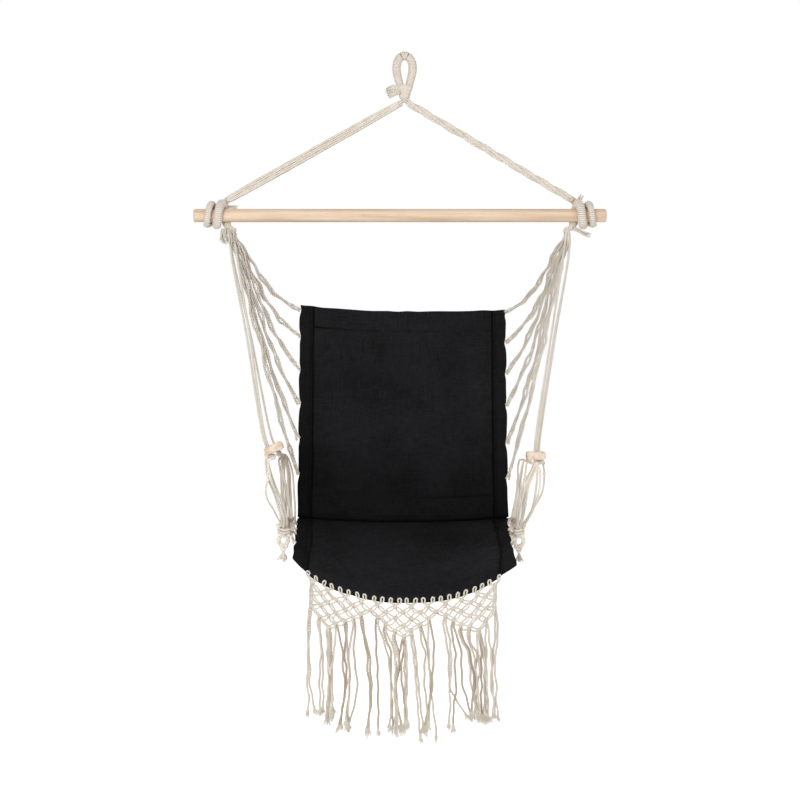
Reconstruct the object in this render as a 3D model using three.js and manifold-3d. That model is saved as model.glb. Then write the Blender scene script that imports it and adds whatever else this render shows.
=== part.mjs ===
// A hanging chair: a padded cloth sling on knotted cords under a spreader bar, with arm slats and a fringe.
// Millimetres. +Z is up, +X is to the right of someone who faces the chair, and the chair faces -Y.
// The origin is the inside top of the rope eye, where the chair hangs.
import * as THREE from "three";
import { mergeVertices } from "three/addons/utils/BufferGeometryUtils.js";
import Module from "manifold-3d";

const wasm = await Module();
wasm.setup();

// Clearances
const softGap = 0.4;
const splayGap = 0.9;
const cutOverrun = 5;
const simplifyWithin = 0.02;

// Rope eye and its whipped throat
const eyeRope = 20;
const eyeFootRope = 14.6;
const eyeRoute = [
  [-7.7, -64],
  [-7.8, -57],
  [-11, -50],
  [-17.4, -42],
  [-20.4, -24],
  [-17.6, -5],
  [-9.6, 6.6],
  [0, 10],
  [9.6, 6.6],
  [17.6, -5],
  [20.4, -24],
  [17.4, -42],
  [11, -50],
  [7.8, -57],
  [7.7, -64],
];
const eyeSteps = 30;
const eyeSides = 8;
const throatTopDiameter = 31;
const throatFootDiameter = 25;
const throatLength = 24;
const throatSides = 16;
const tailRope = 8;
const tailTuft = 14;
const eyeTailRoute = [
  [0, 0, 0],
  [-6, 0, 0],
  [-11, -2, -6],
  [-19, -3, -11],
  [-29, -3, -17],
];

// Knuckle of rope where the two bridle legs meet
const apexDiameter = 22;
const bridleCord = 4.6;
const bridleCordCount = 4;
const bridleRope = 17;
const bridleRopeSteps = 12;

// Spreader bar
const barLength = 1000;
const barDiameter = 32;
const barChamfer = 2.5;
const barSides = 32;
const barDrop = 378;
const barMid = -11;

// Rope turns round the bar: places as distance outwards from the outer turn, back and up from the axis
const wrapRope = 17;
const wrapClearance = 0.9;
const wrapInset = 36;
const wrapPitch = 25;
const wrapTurns = 2;
const wrapPointsPerTurn = 12;
const wrapStepsPerPoint = 2;
const wrapSides = 6;
const wrapStartAngle = -70;
const wrapFrontAngle = -180;
const wrapLeadRoute = [
  [-51, 8, 42],
  [-41.5, 20, 38.5],
  [-31, 36, 26],
  [-18, 45.5, 6],
  [-6, 43, -13],
  [3, 31, -25],
];
const neckRoute = [
  [-52, 0.5, -37],
  [-57.5, 0.5, -54],
];
const leftTailRoute = [
  [-19, 0, -34.3],
  [-19.5, 0, -39],
  [-24, -2, -45],
  [-31, -4, -54],
  [-34, -5, -66],
];
const rightTopTailRoute = [
  [-31.4, 0, 34.8],
  [-29, 0, 42],
  [-24, 1, 52],
];
const rightLowTailRoute = [
  [-19, 0, -34.8],
  [-21, -1, -42],
  [-27, -2, -54],
];

// Cloth sling
const slingMid = -4;
const slingWidth = 524;
const hemThickness = 4;
const hemWidth = 34;
const padThickness = 21;
const padRise = 60;
const gridSteps = 5;
const riseShares = [0.25, 0.6];
const creaseDrop = 1130;
const creaseLift = 11;
const creaseBack = 88;
const creaseHem = 8;
const backHeight = 530;
const backLean = 100;
const backBow = 14;
const backCornerLift = 6;
const backTopHem = 52;
const seatFrontWidth = 500;
const seatLength = 430;
const seatDrop = 142;
const seatSideDrop = 65;
const seatHollow = 8;
const seatRoundShare = 0.098;
const seatCornerShare = 0.09;
const seatCornerPower = 12;
const cupPower = 2.4;
const rimRise = 46;

// Side cords between the neck and the back of the sling
const sideCord = 4.2;
const sideBundle = 6.6;
const sideKnot = 10.5;
const knotLengthShare = 0.035;
const cordSides = 6;
const cordSteps = 12;
const cordLead = 8;
const cordWave = 5;
const strandPitch = 5;
const strandRow = 4.4;
const thickenShare = 0.3;
const waveShares = [0, 0.7, -0.6, 0.8, -0.5, 0.6, -0.4, 0];
const backCordSlots = [
  [1, 1],
  [0, 1],
  [1.5, 0],
  [0.5, 0],
  [-0.5, 0],
  [0, -1],
];
const leftEdgeShares = [0.026, 0.151, 0.31, 0.473, 0.64, 0.804];
const rightEdgeShares = [0.037, 0.183, 0.329, 0.482, 0.659, 0.826];
const leftKnotShares = [[0.88], [0.62, 0.9], [0.9], [0.7], [0.55, 0.9], [0.86]];
const rightKnotShares = [[0.6, 0.9], [0.88], [0.5, 0.9], [0.66], [0.9], [0.6, 0.88]];

// Arm slats and the cords that carry them
const slatLength = 380;
const slatWidth = 44;
const slatThickness = 20;
const slatRound = 6;
const slatBevel = 2.5;
const slatHole = 13;
const slatHoleInset = 30;
const slatHoleSides = 16;
const slatCordLead = 14;
const holeFootInset = 5.5;
const armKnot = 17;
const armKnotLength = 19;
const armRope = 5;
const leftSlat = {
  side: -1,
  cordGap: 9.8,
  rise: 188,
  splay: 3.75,
  dip: 1.45,
  roll: 25,
  frontHole: 10,
  rearHole: -3,
};
const rightSlat = {
  side: 1,
  cordGap: 22.3,
  rise: 170,
  splay: 4,
  dip: 1.65,
  roll: 0,
  frontHole: 0,
  rearHole: 12,
};

// Gathers of the arm cords beside the seat, as distance outwards from the sling and up from the seat's edge
const gatherShare = 0.31;
const leftGather = { out: 27.3, up: -9 };
const rightGather = { out: 18.3, up: -11 };

// Cords from the arm slats down to the gathers: routes as distance outwards, back and up from the gather
const lowerCord = 4.6;
const lowerBundle = 6.6;
const leftFrontInnerRoute = [
  [4, -128, 136],
  [-2, -98, 88],
  [-4, -54, 42],
];
const leftFrontOuterRoute = [
  [25, -146, 148],
  [31, -126, 102],
  [15, -78, 58],
  [7, -36, 30],
];
const leftRearInnerRoute = [
  [-2, 152, 144],
  [-6, 116, 98],
  [-11, 60, 42],
];
const leftRearOuterRoute = [
  [17, 158, 138],
  [13, 112, 88],
  [5, 50, 36],
];
const rightFrontInnerRoute = [
  [7, -130, 124],
  [1, -96, 80],
  [-2, -50, 38],
];
const rightFrontOuterRoute = [
  [35, -138, 120],
  [27, -104, 72],
  [13, -42, 30],
];
const rightRearOuterRoute = [
  [78, 160, 140],
  [70, 130, 98],
  [42, 78, 50],
  [16, 34, 22],
];
const rightRearInnerRoute = [
  [29, 162, 130],
  [14, 118, 84],
  [0, 54, 34],
];
const leftLowerCords = [
  { knot: "front", aimShares: [0.3, 0.2], slot: [0, -1], route: leftFrontInnerRoute },
  { knot: "front", aimShares: [-0.6, -0.3], slot: [-1, 0], route: leftFrontOuterRoute },
  { knot: "rear", aimShares: [0.6, 0], slot: [1, 0], route: leftRearInnerRoute },
  { knot: "rear", aimShares: [-0.3, -0.2], slot: [0, 1], route: leftRearOuterRoute },
];
const rightLowerCords = [
  { knot: "front", aimShares: [-0.4, 0.2], slot: [0, -1], route: rightFrontInnerRoute },
  { knot: "front", aimShares: [0.4, -0.2], slot: [1, 0], route: rightFrontOuterRoute },
  { knot: "rear", aimShares: [0.8, 0], slot: [0, 1], route: rightRearOuterRoute },
  { knot: "rear", aimShares: [-0.5, 0], slot: [-1, 0], route: rightRearInnerRoute },
];
const gatherDiameter = 24;
const gatherHeight = 12;
const gatherSides = 10;
const gatherPitch = 6.4;
const ringRope = 11;
const ringWidth = 22;
const ringHeight = 26;
const ringPoints = 8;
const ringSteps = 16;
const armTieShares = [0.17, 0.42, 0.66];
const armTie = 6;
const tasselLength = 30;
const tasselTop = 11;
const tasselFoot = 30;
const tasselSides = 10;

// Knotted net and fringe on the seat's front edge
const netColumns = 12;
const netPitch = 37.2;
const netRow = 15.6;
const netRows = 7;
const netFullRows = 3;
const netTips = [
  { column: 1, row: 6 },
  { column: 5.5, row: 5 },
  { column: 10, row: 6 },
];
const netCord = 4.6;
const netKnotWidth = 10;
const netKnotHeight = 8;
const loopRise = 5;
const loopSpreadShare = 0.25;
const fringeWidth = 446;
const fringeLength = 330;
const fringeStrand = 4.8;
const fringeTuft = 8;
const fringePairPitch = 5.6;
const fringeWave = 3.4;
const fringeFallShares = [0, 0.18, 0.42, 0.68, 0.92, 1];
const fringeWaveShares = [0, 0.4, -0.8, 0.9, -0.7, 0];
const fringeEndShares = [
  0.94, 0.93, 0.96, 0.92, 0.95, 0.97, 0.98, 0.985, 0.99, 0.985, 1, 1, 0.98, 0.97, 1.02, 1.025, 1.02, 0.985,
  0.98, 0.95, 0.94, 0.945, 0.94, 0.95,
];

// A point from three lengths.
const at = (x, y, z) => new THREE.Vector3(x, y, z);

const degrees = Math.PI / 180;

// One closed solid from lists of corners and triangles.
function shell(corners, faces) {
  const geometry = new THREE.BufferGeometry();
  const numbers = corners.flatMap((corner) => corner.toArray());
  geometry.setAttribute("position", new THREE.Float32BufferAttribute(numbers, 3));
  geometry.setIndex(faces.flat());
  return geometry;
}

// A round rope through the given points, as one closed tube whose radius can change along it.
function rope(points, radiusAt, sides) {
  const last = points.length - 1;
  const corners = [];
  const faces = [];
  let across = null;
  points.forEach((point, i) => {
    const ahead = points[Math.min(i + 1, last)];
    const behind = points[Math.max(i - 1, 0)];
    const along = ahead.clone().sub(behind).normalize();
    if (!across) across = Math.abs(along.y) < 0.9 ? at(0, 1, 0) : at(1, 0, 0);
    across = across.clone().addScaledVector(along, -across.dot(along)).normalize();
    const up = along.clone().cross(across);
    for (let k = 0; k < sides; k++) {
      const turn = (2 * Math.PI * k) / sides;
      const radius = radiusAt(i / last, i);
      const corner = point.clone().addScaledVector(across, radius * Math.cos(turn));
      corners.push(corner.addScaledVector(up, radius * Math.sin(turn)));
    }
  });
  for (let i = 0; i < last; i++)
    for (let k = 0; k < sides; k++) {
      const next = (k + 1) % sides;
      const a = i * sides + k;
      const b = i * sides + next;
      faces.push([a, b, b + sides], [a, b + sides, a + sides]);
    }
  const first = corners.push(points[0].clone()) - 1;
  const end = corners.push(points[last].clone()) - 1;
  for (let k = 0; k < sides; k++) {
    const next = (k + 1) % sides;
    faces.push([first, next, k], [end, last * sides + k, last * sides + next]);
  }
  return shell(corners, faces);
}

const splineOf = (points) => new THREE.CatmullRomCurve3(points, false, "centripetal");

// A cord of one diameter along a spline.
function cord(points, diameter, steps, sides = cordSides) {
  return rope(splineOf(points).getPoints(steps), () => diameter / 2, sides);
}

// A cord that thickens from its start and carries knots at the given shares of its route.
function knottedCord(points, thin, thick, knotShares) {
  const curve = splineOf(points);
  const shares = [...Array(cordSteps + 1).keys()].map((i) => i / cordSteps);
  knotShares.forEach((knot) => [-1, -0.5, 0, 0.5, 1].forEach((k) => shares.push(knot + k * knotLengthShare)));
  shares.sort((a, b) => a - b);
  const kept = shares.filter((share, i) => i === 0 || share - shares[i - 1] > knotLengthShare / 4);
  const radiusAt = (_, i) => {
    const grown = Math.min(1, kept[i] / thickenShare);
    const near = Math.min(1, ...knotShares.map((knot) => Math.abs(kept[i] - knot) / knotLengthShare));
    const plain = thin + (thick - thin) * grown;
    return (plain + (sideKnot - plain) * (1 - near * near)) / 2;
  };
  return rope(kept.map((share) => curve.getPoint(share)), radiusAt, cordSides);
}

function toSolid(geometry) {
  const bare = geometry.clone();
  bare.deleteAttribute("normal");
  bare.deleteAttribute("uv");
  const merged = mergeVertices(bare);
  const mesh = new wasm.Mesh({
    numProp: 3,
    vertProperties: merged.attributes.position.array,
    triVerts: new Uint32Array(merged.index.array),
  });
  return new wasm.Manifold(mesh);
}

function toGeometry(solid) {
  const mesh = solid.getMesh();
  const geometry = new THREE.BufferGeometry();
  geometry.setAttribute("position", new THREE.Float32BufferAttribute(mesh.vertProperties, 3));
  geometry.setIndex(Array.from(mesh.triVerts));
  return geometry;
}

// Several pieces as one solid, with its flat faces merged.
function joined(geometries) {
  const whole = geometries.map(toSolid).reduce((sum, next) => sum.add(next));
  return toGeometry(whole.asOriginal().simplify(simplifyWithin));
}

// The bar's axis is along X; places round it are given outwards from the bar's middle, back and up.
const place = (side, out, back, up) => at(barMid + side * out, back, up - barDrop);

const outerTurn = barLength / 2 - wrapInset;
const wrapRadius = barDiameter / 2 + wrapClearance + wrapRope / 2;
const fromOuterTurn = (side, [out, back, up]) => place(side, outerTurn + out, back, up);

// Rope eye: one rope that goes up, round and down again to the throat.
function hangingEye() {
  const points = eyeRoute.map(([x, z]) => at(x, 0, z));
  const spread = (share) => Math.min(1, 3 * Math.min(share, 1 - share));
  const radiusAt = (share) => (eyeFootRope + (eyeRope - eyeFootRope) * spread(share)) / 2;
  return rope(splineOf(points).getPoints(eyeSteps), radiusAt, eyeSides);
}

const throatTop = eyeRoute[0][1] - softGap;

// Whipping that binds the two legs of the eye.
function throatWhipping() {
  const profile = [
    new THREE.Vector2(0, -throatLength),
    new THREE.Vector2(throatFootDiameter / 2, -throatLength),
    new THREE.Vector2(throatTopDiameter / 2, -throatLength / 2),
    new THREE.Vector2(throatTopDiameter / 2, 0),
    new THREE.Vector2(0, 0),
  ];
  return new THREE.LatheGeometry(profile, throatSides).rotateX(Math.PI / 2).translate(0, 0, throatTop);
}

// A short rope end that frays out.
function tail(points) {
  const radiusAt = (share) => (tailRope + (tailTuft - tailRope) * share) / 2;
  return rope(splineOf(points).getPoints(points.length + 1), radiusAt, cordSides);
}

function eyeTail() {
  const start = at(-throatTopDiameter / 2 - softGap, 0, throatTop - throatLength / 3);
  return tail(eyeTailRoute.map(([x, y, z]) => start.clone().add(at(x, y, z))));
}

const apex = at(0, 0, throatTop - throatLength - softGap - apexDiameter / 2);

// Knuckle where the legs of the bridle come together.
function bridleApex() {
  return new THREE.IcosahedronGeometry(apexDiameter / 2, 1).translate(apex.x, apex.y, apex.z);
}

// First point and aim of the rope turns, where a leg of the bridle runs in.
function wrapStart(side) {
  const start = fromOuterTurn(side, wrapLeadRoute[0]);
  const aim = fromOuterTurn(side, wrapLeadRoute[1]).sub(start).normalize();
  return { start, aim };
}

// The ends of one bridle leg, clear of the knuckle and of the rope turns.
function bridleLeg(side, thickness) {
  const { start } = wrapStart(side);
  const along = start.clone().sub(apex).normalize();
  const top = apex.clone().addScaledVector(along, apexDiameter / 2 + softGap);
  const squareOff = (thickness / 2) * Math.sin(along.angleTo(wrapStart(side).aim));
  const foot = start.clone().addScaledVector(along, -softGap - squareOff);
  return { top, foot, along };
}

// Cords of the left leg, side by side.
function bridleCordAt(index) {
  const { top, foot, along } = bridleLeg(-1, bridleCord * bridleCordCount);
  const side = along.clone().cross(at(0, 1, 0)).normalize();
  const shift = (index - (bridleCordCount - 1) / 2) * (bridleCord + softGap);
  return rope(
    [top, foot].map((p) => p.clone().addScaledVector(side, shift)),
    () => bridleCord / 2,
    eyeSides,
  );
}

// Rope of the right leg.
function bridleRopeRight() {
  const { top, foot } = bridleLeg(1, bridleRope);
  return cord([top, top.clone().lerp(foot, 1 / 2), foot], bridleRope, bridleRopeSteps, eyeSides);
}

function spreaderBar() {
  const half = barLength / 2;
  const radius = barDiameter / 2;
  const profile = [
    new THREE.Vector2(0, -half),
    new THREE.Vector2(radius - barChamfer, -half),
    new THREE.Vector2(radius, barChamfer - half),
    new THREE.Vector2(radius, half - barChamfer),
    new THREE.Vector2(radius - barChamfer, half),
    new THREE.Vector2(0, half),
  ];
  return new THREE.LatheGeometry(profile, barSides).rotateZ(-Math.PI / 2).translate(barMid, 0, -barDrop);
}

// Centre line of the rope turns: in from the bridle behind the bar, round it, and out to the neck.
function wrapPoints(side) {
  const points = wrapLeadRoute.map((p) => fromOuterTurn(side, p));
  for (let i = 0; i <= wrapTurns * wrapPointsPerTurn; i++) {
    const angle = wrapStartAngle - (360 * i) / wrapPointsPerTurn;
    const out = outerTurn - (wrapPitch * (wrapFrontAngle - angle)) / 360;
    const [back, up] = [Math.cos(angle * degrees), Math.sin(angle * degrees)];
    points.push(place(side, out, wrapRadius * back, wrapRadius * up));
  }
  neckRoute.forEach((p) => points.push(fromOuterTurn(side, p)));
  return splineOf(points).getPoints(wrapStepsPerPoint * (points.length - 1));
}

// The least gap between a rope and itself, between points further apart along it than a quarter turn.
function leastGap(points, diameter) {
  const lengths = [0];
  points.slice(1).forEach((p, i) => lengths.push(lengths[i] + p.distanceTo(points[i])));
  let least = Infinity;
  points.forEach((p, i) =>
    points.forEach((q, j) => {
      if (lengths[j] - lengths[i] > 2.5 * diameter) least = Math.min(least, p.distanceTo(q) - diameter);
    }),
  );
  return least;
}

function barWrap(side) {
  const points = wrapPoints(side);
  console.log("rope turns: least gap to itself " + leastGap(points, wrapRope).toFixed(2) + " mm");
  return rope(points, () => wrapRope / 2, wrapSides);
}

// The plane at the end of the neck where the strands splay.
function neckPlane(side) {
  const [before, end] = neckRoute.map((p) => fromOuterTurn(side, p));
  const aim = end.clone().sub(before).normalize();
  const inward = at(-side, 0, 0);
  inward.addScaledVector(aim, -inward.dot(aim)).normalize();
  const back = at(0, 1, 0);
  back.addScaledVector(aim, -back.dot(aim)).normalize();
  return { end, aim, inward, back };
}

// First two points of a strand from its slot in the neck.
function strandStart(side, [column, row]) {
  const { end, aim, inward, back } = neckPlane(side);
  const start = end.clone().addScaledVector(aim, splayGap);
  start.addScaledVector(inward, column * strandPitch).addScaledVector(back, row * strandRow);
  return [start, start.clone().addScaledVector(aim, cordLead)];
}

const squared = (u) => Math.pow(Math.abs(u), 2);
const cupped = (u) => Math.pow(Math.abs(u), cupPower);

// Middle surface of the back: u runs from -1 to 1 across, v from 0 at the top to 1 at the crease.
function backPoint(u, v) {
  const back = creaseBack + backLean * (1 - v) + backBow * 4 * v * (1 - v);
  const crease = hemThickness / 2 + 2 * softGap + creaseLift * cupped(u);
  const top = backHeight + (creaseLift + backCornerLift) * squared(u);
  return at(slingMid + (u * slingWidth) / 2, back, -creaseDrop + v * crease + (1 - v) * top);
}

// Middle surface of the seat: v runs from 0 at the crease to 1 at the front edge.
function seatPoint(u, v) {
  const width = slingWidth + (seatFrontWidth - slingWidth) * v;
  const round = seatRoundShare * squared(u) + seatCornerShare * Math.pow(Math.abs(u), seatCornerPower);
  const front = creaseBack - seatLength * (1 - round) * v;
  const middle = -seatDrop * v - seatHollow * 4 * v * (1 - v);
  const sides = creaseLift - seatSideDrop * v;
  return at(slingMid + (u * width) / 2, front, -creaseDrop + middle + (sides - middle) * cupped(u));
}

// Grid lines from one edge to the other: close together where the filling rises behind each hem.
function gridLines(length, firstHem, firstRise, lastHem, lastRise) {
  const lines = [0];
  if (firstHem) lines.push(firstHem);
  riseShares.forEach((share) => lines.push(firstHem + firstRise * share));
  const from = firstHem + firstRise;
  const to = length - lastHem - lastRise;
  for (let i = 0; i <= gridSteps; i++) lines.push(from + ((to - from) * i) / gridSteps);
  [...riseShares].reverse().forEach((share) => lines.push(length - lastHem - lastRise * share));
  if (lastHem) lines.push(length - lastHem);
  lines.push(length);
  return lines;
}

// How far the filling has risen at a distance behind a hem.
function risen(distance, hem, rise) {
  const share = Math.min(1, Math.max(0, (distance - hem) / rise));
  return Math.sqrt(1 - Math.pow(1 - share, 2));
}

// A padded panel with flat hems, closed round its edge.
function panel(pointAt, length, firstHem, firstRise, lastHem, lastRise) {
  const acrossLines = gridLines(slingWidth, hemWidth, padRise, hemWidth, padRise);
  const alongLines = gridLines(length, firstHem, firstRise, lastHem, lastRise);
  const columns = acrossLines.length;
  const rows = alongLines.length;
  const tiny = 1 / 1000;
  const faces = [];
  const fronts = [];
  const rears = [];
  alongLines.forEach((along) =>
    acrossLines.forEach((across) => {
      const u = (2 * across) / slingWidth - 1;
      const v = along / length;
      const edge = Math.min(across, slingWidth - across);
      const sides = risen(edge, hemWidth, padRise);
      const ends = risen(along, firstHem, firstRise) * risen(length - along, lastHem, lastRise);
      const half = (hemThickness + (padThickness - hemThickness) * sides * ends) / 2;
      const here = pointAt(u, v);
      const acrossStep = pointAt(u + tiny, v).sub(pointAt(u - tiny, v));
      const alongStep = pointAt(u, v + tiny).sub(pointAt(u, v - tiny));
      const normal = acrossStep.cross(alongStep).normalize();
      fronts.push(here.clone().addScaledVector(normal, half));
      rears.push(here.clone().addScaledVector(normal, -half));
    }),
  );
  const corners = [...fronts, ...rears];
  const quad = (a, b, c, d) => faces.push([a, b, c], [a, c, d]);
  const rear = fronts.length;
  const spot = (row, column) => row * columns + column;
  for (let r = 0; r < rows - 1; r++)
    for (let c = 0; c < columns - 1; c++) {
      quad(spot(r, c), spot(r, c + 1), spot(r + 1, c + 1), spot(r + 1, c));
      quad(rear + spot(r, c), rear + spot(r + 1, c), rear + spot(r + 1, c + 1), rear + spot(r, c + 1));
    }
  for (let c = 0; c < columns - 1; c++) {
    const low = rows - 1;
    quad(spot(0, c), rear + spot(0, c), rear + spot(0, c + 1), spot(0, c + 1));
    quad(spot(low, c), spot(low, c + 1), rear + spot(low, c + 1), rear + spot(low, c));
  }
  for (let r = 0; r < rows - 1; r++) {
    const end = columns - 1;
    quad(spot(r, 0), spot(r + 1, 0), rear + spot(r + 1, 0), rear + spot(r, 0));
    quad(spot(r, end), rear + spot(r, end), rear + spot(r + 1, end), spot(r + 1, end));
  }
  return shell(corners, faces);
}

const backPad = () => panel(backPoint, backHeight, backTopHem, padRise, creaseHem, padRise);
const seatPad = () => panel(seatPoint, seatLength, creaseHem, padRise, 0, rimRise);

// Route of a wavy side cord from its slot in the neck to the edge of the back.
function backCordRoute(side, index) {
  const shares = side < 0 ? leftEdgeShares : rightEdgeShares;
  const end = backPoint(side, shares[index]).add(at(side * 1.5 * softGap, 0, 0));
  const before = end.clone().add(at(side * cordLead, 0, 0));
  const [start, second] = strandStart(side, backCordSlots[index]);
  const across = before.clone().sub(second).cross(at(0, 1, 0)).normalize();
  const sway = index % 2 ? cordWave : -cordWave;
  const middle = waveShares.map((wave, i) =>
    second.clone().lerp(before, (i + 1) / (waveShares.length + 1)).addScaledVector(across, wave * sway),
  );
  return [start, second, ...middle, before, end];
}

function backCord(side, index) {
  const knots = side < 0 ? leftKnotShares : rightKnotShares;
  return knottedCord(backCordRoute(side, index), sideCord, sideBundle, knots[index]);
}

// How far out from the bar's middle the lowest side cord runs at a height.
function sideCordOut(side, height) {
  const shares = side < 0 ? leftEdgeShares : rightEdgeShares;
  const { end } = neckPlane(side);
  const edge = backPoint(side, shares[shares.length - 1]);
  const fall = (height - end.z) / (edge.z - end.z);
  return side * (end.x + (edge.x - end.x) * fall - barMid);
}

// Frame of an arm slat: its middle, and its length, width and thickness directions.
function slatFrame({ side, cordGap, rise, splay, dip, roll }) {
  const height = rise - creaseDrop;
  const out = sideCordOut(side, height) + cordGap + slatWidth / 2;
  const [sideways, back] = [Math.sin(splay * degrees), Math.cos(splay * degrees)];
  const along = at(side * sideways, back, -Math.sin(dip * degrees)).normalize();
  const outward = at(side * Math.cos(roll * degrees), 0, -Math.sin(roll * degrees));
  outward.addScaledVector(along, -outward.dot(along)).normalize();
  const up = outward.clone().cross(along).multiplyScalar(side);
  return { middle: at(barMid + side * out, 0, height), along, outward, up };
}

const holeReach = slatLength / 2 - slatHoleInset;

// The middle of a hole at the slat's mid thickness.
function holeMiddle(slat, end) {
  const { middle, along, outward } = slatFrame(slat);
  const across = end === "front" ? slat.frontHole : slat.rearHole;
  const reach = end === "front" ? -holeReach : holeReach;
  return middle.clone().addScaledVector(along, reach).addScaledVector(outward, across);
}

function armSlat(slat) {
  const { middle, along, outward, up } = slatFrame(slat);
  const halfWidth = slatWidth / 2 - slatBevel;
  const halfHeight = slatThickness / 2 - slatBevel;
  const round = slatRound - slatBevel;
  const outline = new THREE.Shape();
  outline.moveTo(-halfWidth + round, -halfHeight);
  outline.lineTo(halfWidth - round, -halfHeight);
  outline.absarc(halfWidth - round, -halfHeight + round, round, -Math.PI / 2, 0, false);
  outline.absarc(halfWidth - round, halfHeight - round, round, 0, Math.PI / 2, false);
  outline.absarc(-halfWidth + round, halfHeight - round, round, Math.PI / 2, Math.PI, false);
  outline.absarc(-halfWidth + round, -halfHeight + round, round, Math.PI, 1.5 * Math.PI, false);
  const body = new THREE.ExtrudeGeometry(outline, {
    depth: slatLength - 2 * slatBevel,
    bevelThickness: slatBevel,
    bevelSize: slatBevel,
    bevelSegments: 2,
    curveSegments: 3,
  });
  body.translate(0, 0, slatBevel - slatLength / 2);
  const cross = up.clone().cross(along);
  body.applyMatrix4(new THREE.Matrix4().makeBasis(cross, up, along).setPosition(middle));
  const blank = toSolid(body);
  const drilled = ["front", "rear"].reduce((solid, end) => {
    const depth = slatThickness + cutOverrun;
    const hole = new THREE.CylinderGeometry(slatHole / 2, slatHole / 2, depth, slatHoleSides);
    const turn = new THREE.Matrix4().makeBasis(outward, up, outward.clone().cross(up));
    hole.applyMatrix4(turn.setPosition(holeMiddle(slat, end)));
    return solid.subtract(toSolid(hole));
  }, blank);
  return toGeometry(drilled);
}

// Cord from the neck straight down into a hole of the slat.
function armCord(slat, end, slot, shift, diameter) {
  const { outward, up } = slatFrame(slat);
  const middle = holeMiddle(slat, end).addScaledVector(outward, shift);
  const into = middle.clone().addScaledVector(up, slatThickness / 2 + slatCordLead);
  const foot = middle.clone().addScaledVector(up, holeFootInset - slatThickness / 2);
  const [start, second] = strandStart(slat.side, slot);
  const half = second.clone().lerp(into, 1 / 2);
  return cord([start, second, half, into, middle, foot], diameter, cordSteps, eyeSides);
}

const pairShift = (sideCord + softGap) / 2;

function armKnotMiddle(slat, end) {
  const { up } = slatFrame(slat);
  const seat = (armKnotLength / 2) * Math.sqrt(1 - squared(slatHole / armKnot));
  const drop = slatThickness / 2 + softGap + seat;
  return holeMiddle(slat, end).addScaledVector(up, -drop);
}

// Knot under a slat that the slat rests on.
function armKnotUnder(slat, end) {
  const { outward, up } = slatFrame(slat);
  const ball = new THREE.IcosahedronGeometry(1 / 2, 1).scale(armKnot, armKnotLength, armKnot);
  const turn = new THREE.Matrix4().makeBasis(outward, up, outward.clone().cross(up));
  return ball.applyMatrix4(turn.setPosition(armKnotMiddle(slat, end)));
}

// Where the arm cords are gathered beside the seat, clear of the widest of the sling.
function gatherMiddle(side, { out, up }) {
  const edge = seatPoint(side, gatherShare);
  const widest = Math.max(slingWidth / 2, Math.abs(edge.x - slingMid));
  return at(slingMid + side * (widest + out), edge.y, edge.z + up);
}

// Cord from the knot under a slat down to the gather beside the seat.
function lowerArmCord(slat, gather, { knot, aimShares, slot, route }) {
  const middle = armKnotMiddle(slat, knot);
  const down = at(aimShares[0], aimShares[1], -1).normalize();
  const start = middle.clone().addScaledVector(down, armKnotLength / 2 + softGap);
  const second = start.clone().addScaledVector(down, cordLead);
  const foot = at(slot[0] * gatherPitch, slot[1] * gatherPitch, gatherHeight / 2 + softGap).add(gather);
  const before = foot.clone().add(at(0, 0, cordLead));
  const between = route.map(([out, back, up]) => at(slat.side * out, back, up).add(gather));
  const curve = splineOf([start, second, ...between, before, foot]);
  const radiusAt = (share) => (lowerCord + (lowerBundle - lowerCord) * 4 * share * (1 - share)) / 2;
  return rope(curve.getPoints(cordSteps), radiusAt, cordSides);
}

const edgeSlope = Math.abs(slingWidth - seatFrontWidth) / 2 / seatLength;
const tieGap = 2 * softGap + (edgeSlope * armTie) / 2;

// Collar, wrapped ring and ties that gather the arm cords at the seat's side.
function gatherKnot(side, middle) {
  const radius = gatherDiameter / 2;
  const collar = new THREE.CylinderGeometry(radius, radius, gatherHeight, gatherSides);
  collar.rotateX(Math.PI / 2).translate(middle.x, middle.y, middle.z);
  const ringPath = [];
  for (let i = 0; i <= ringPoints; i++) {
    const turn = (2 * Math.PI * i) / (ringPoints + 1) + Math.PI / (ringPoints + 1) + Math.PI / 2;
    const low = middle.z - ringHeight / 2 - ringRope / 4;
    const [across, up] = [(ringWidth / 2) * Math.cos(turn), (ringHeight / 2) * Math.sin(turn)];
    ringPath.push(at(middle.x + across, middle.y, low + up));
  }
  const ring = cord(ringPath, ringRope, ringSteps);
  const ties = armTieShares.map((share) => {
    const edge = seatPoint(side, share).add(at(side * tieGap, 0, 0));
    const before = edge.clone().add(at(side * cordLead, 0, 0));
    return rope([middle.clone(), before, edge], () => armTie / 2, cordSides);
  });
  return joined([collar, ring, ...ties]);
}

// Frayed tassel under the gather.
function tassel(middle) {
  const flat = (ringRope / 2) * Math.cos(Math.PI / cordSides);
  const top = middle.z - ringHeight - ringRope / 4 - flat - softGap;
  const profile = [
    new THREE.Vector2(0, -tasselLength),
    new THREE.Vector2(tasselFoot / 2, -tasselLength),
    new THREE.Vector2(tasselTop / 2, -tasselLength / 3),
    new THREE.Vector2(tasselTop / 2, 0),
    new THREE.Vector2(0, 0),
  ];
  const turned = new THREE.LatheGeometry(profile, tasselSides).rotateX(Math.PI / 2);
  return turned.translate(middle.x, middle.y, top);
}

// Lays a flat net on the curve of the seat's front edge: x runs along it and z down from it.
function onFrontEdge(geometry) {
  const places = geometry.attributes.position;
  const out = 2 * softGap + netCord / 2;
  for (let i = 0; i < places.count; i++) {
    const edge = seatPoint((2 * places.getX(i)) / seatFrontWidth, 1);
    places.setXYZ(i, slingMid + places.getX(i), edge.y - out + places.getY(i), edge.z + places.getZ(i));
  }
  return geometry;
}

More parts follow.
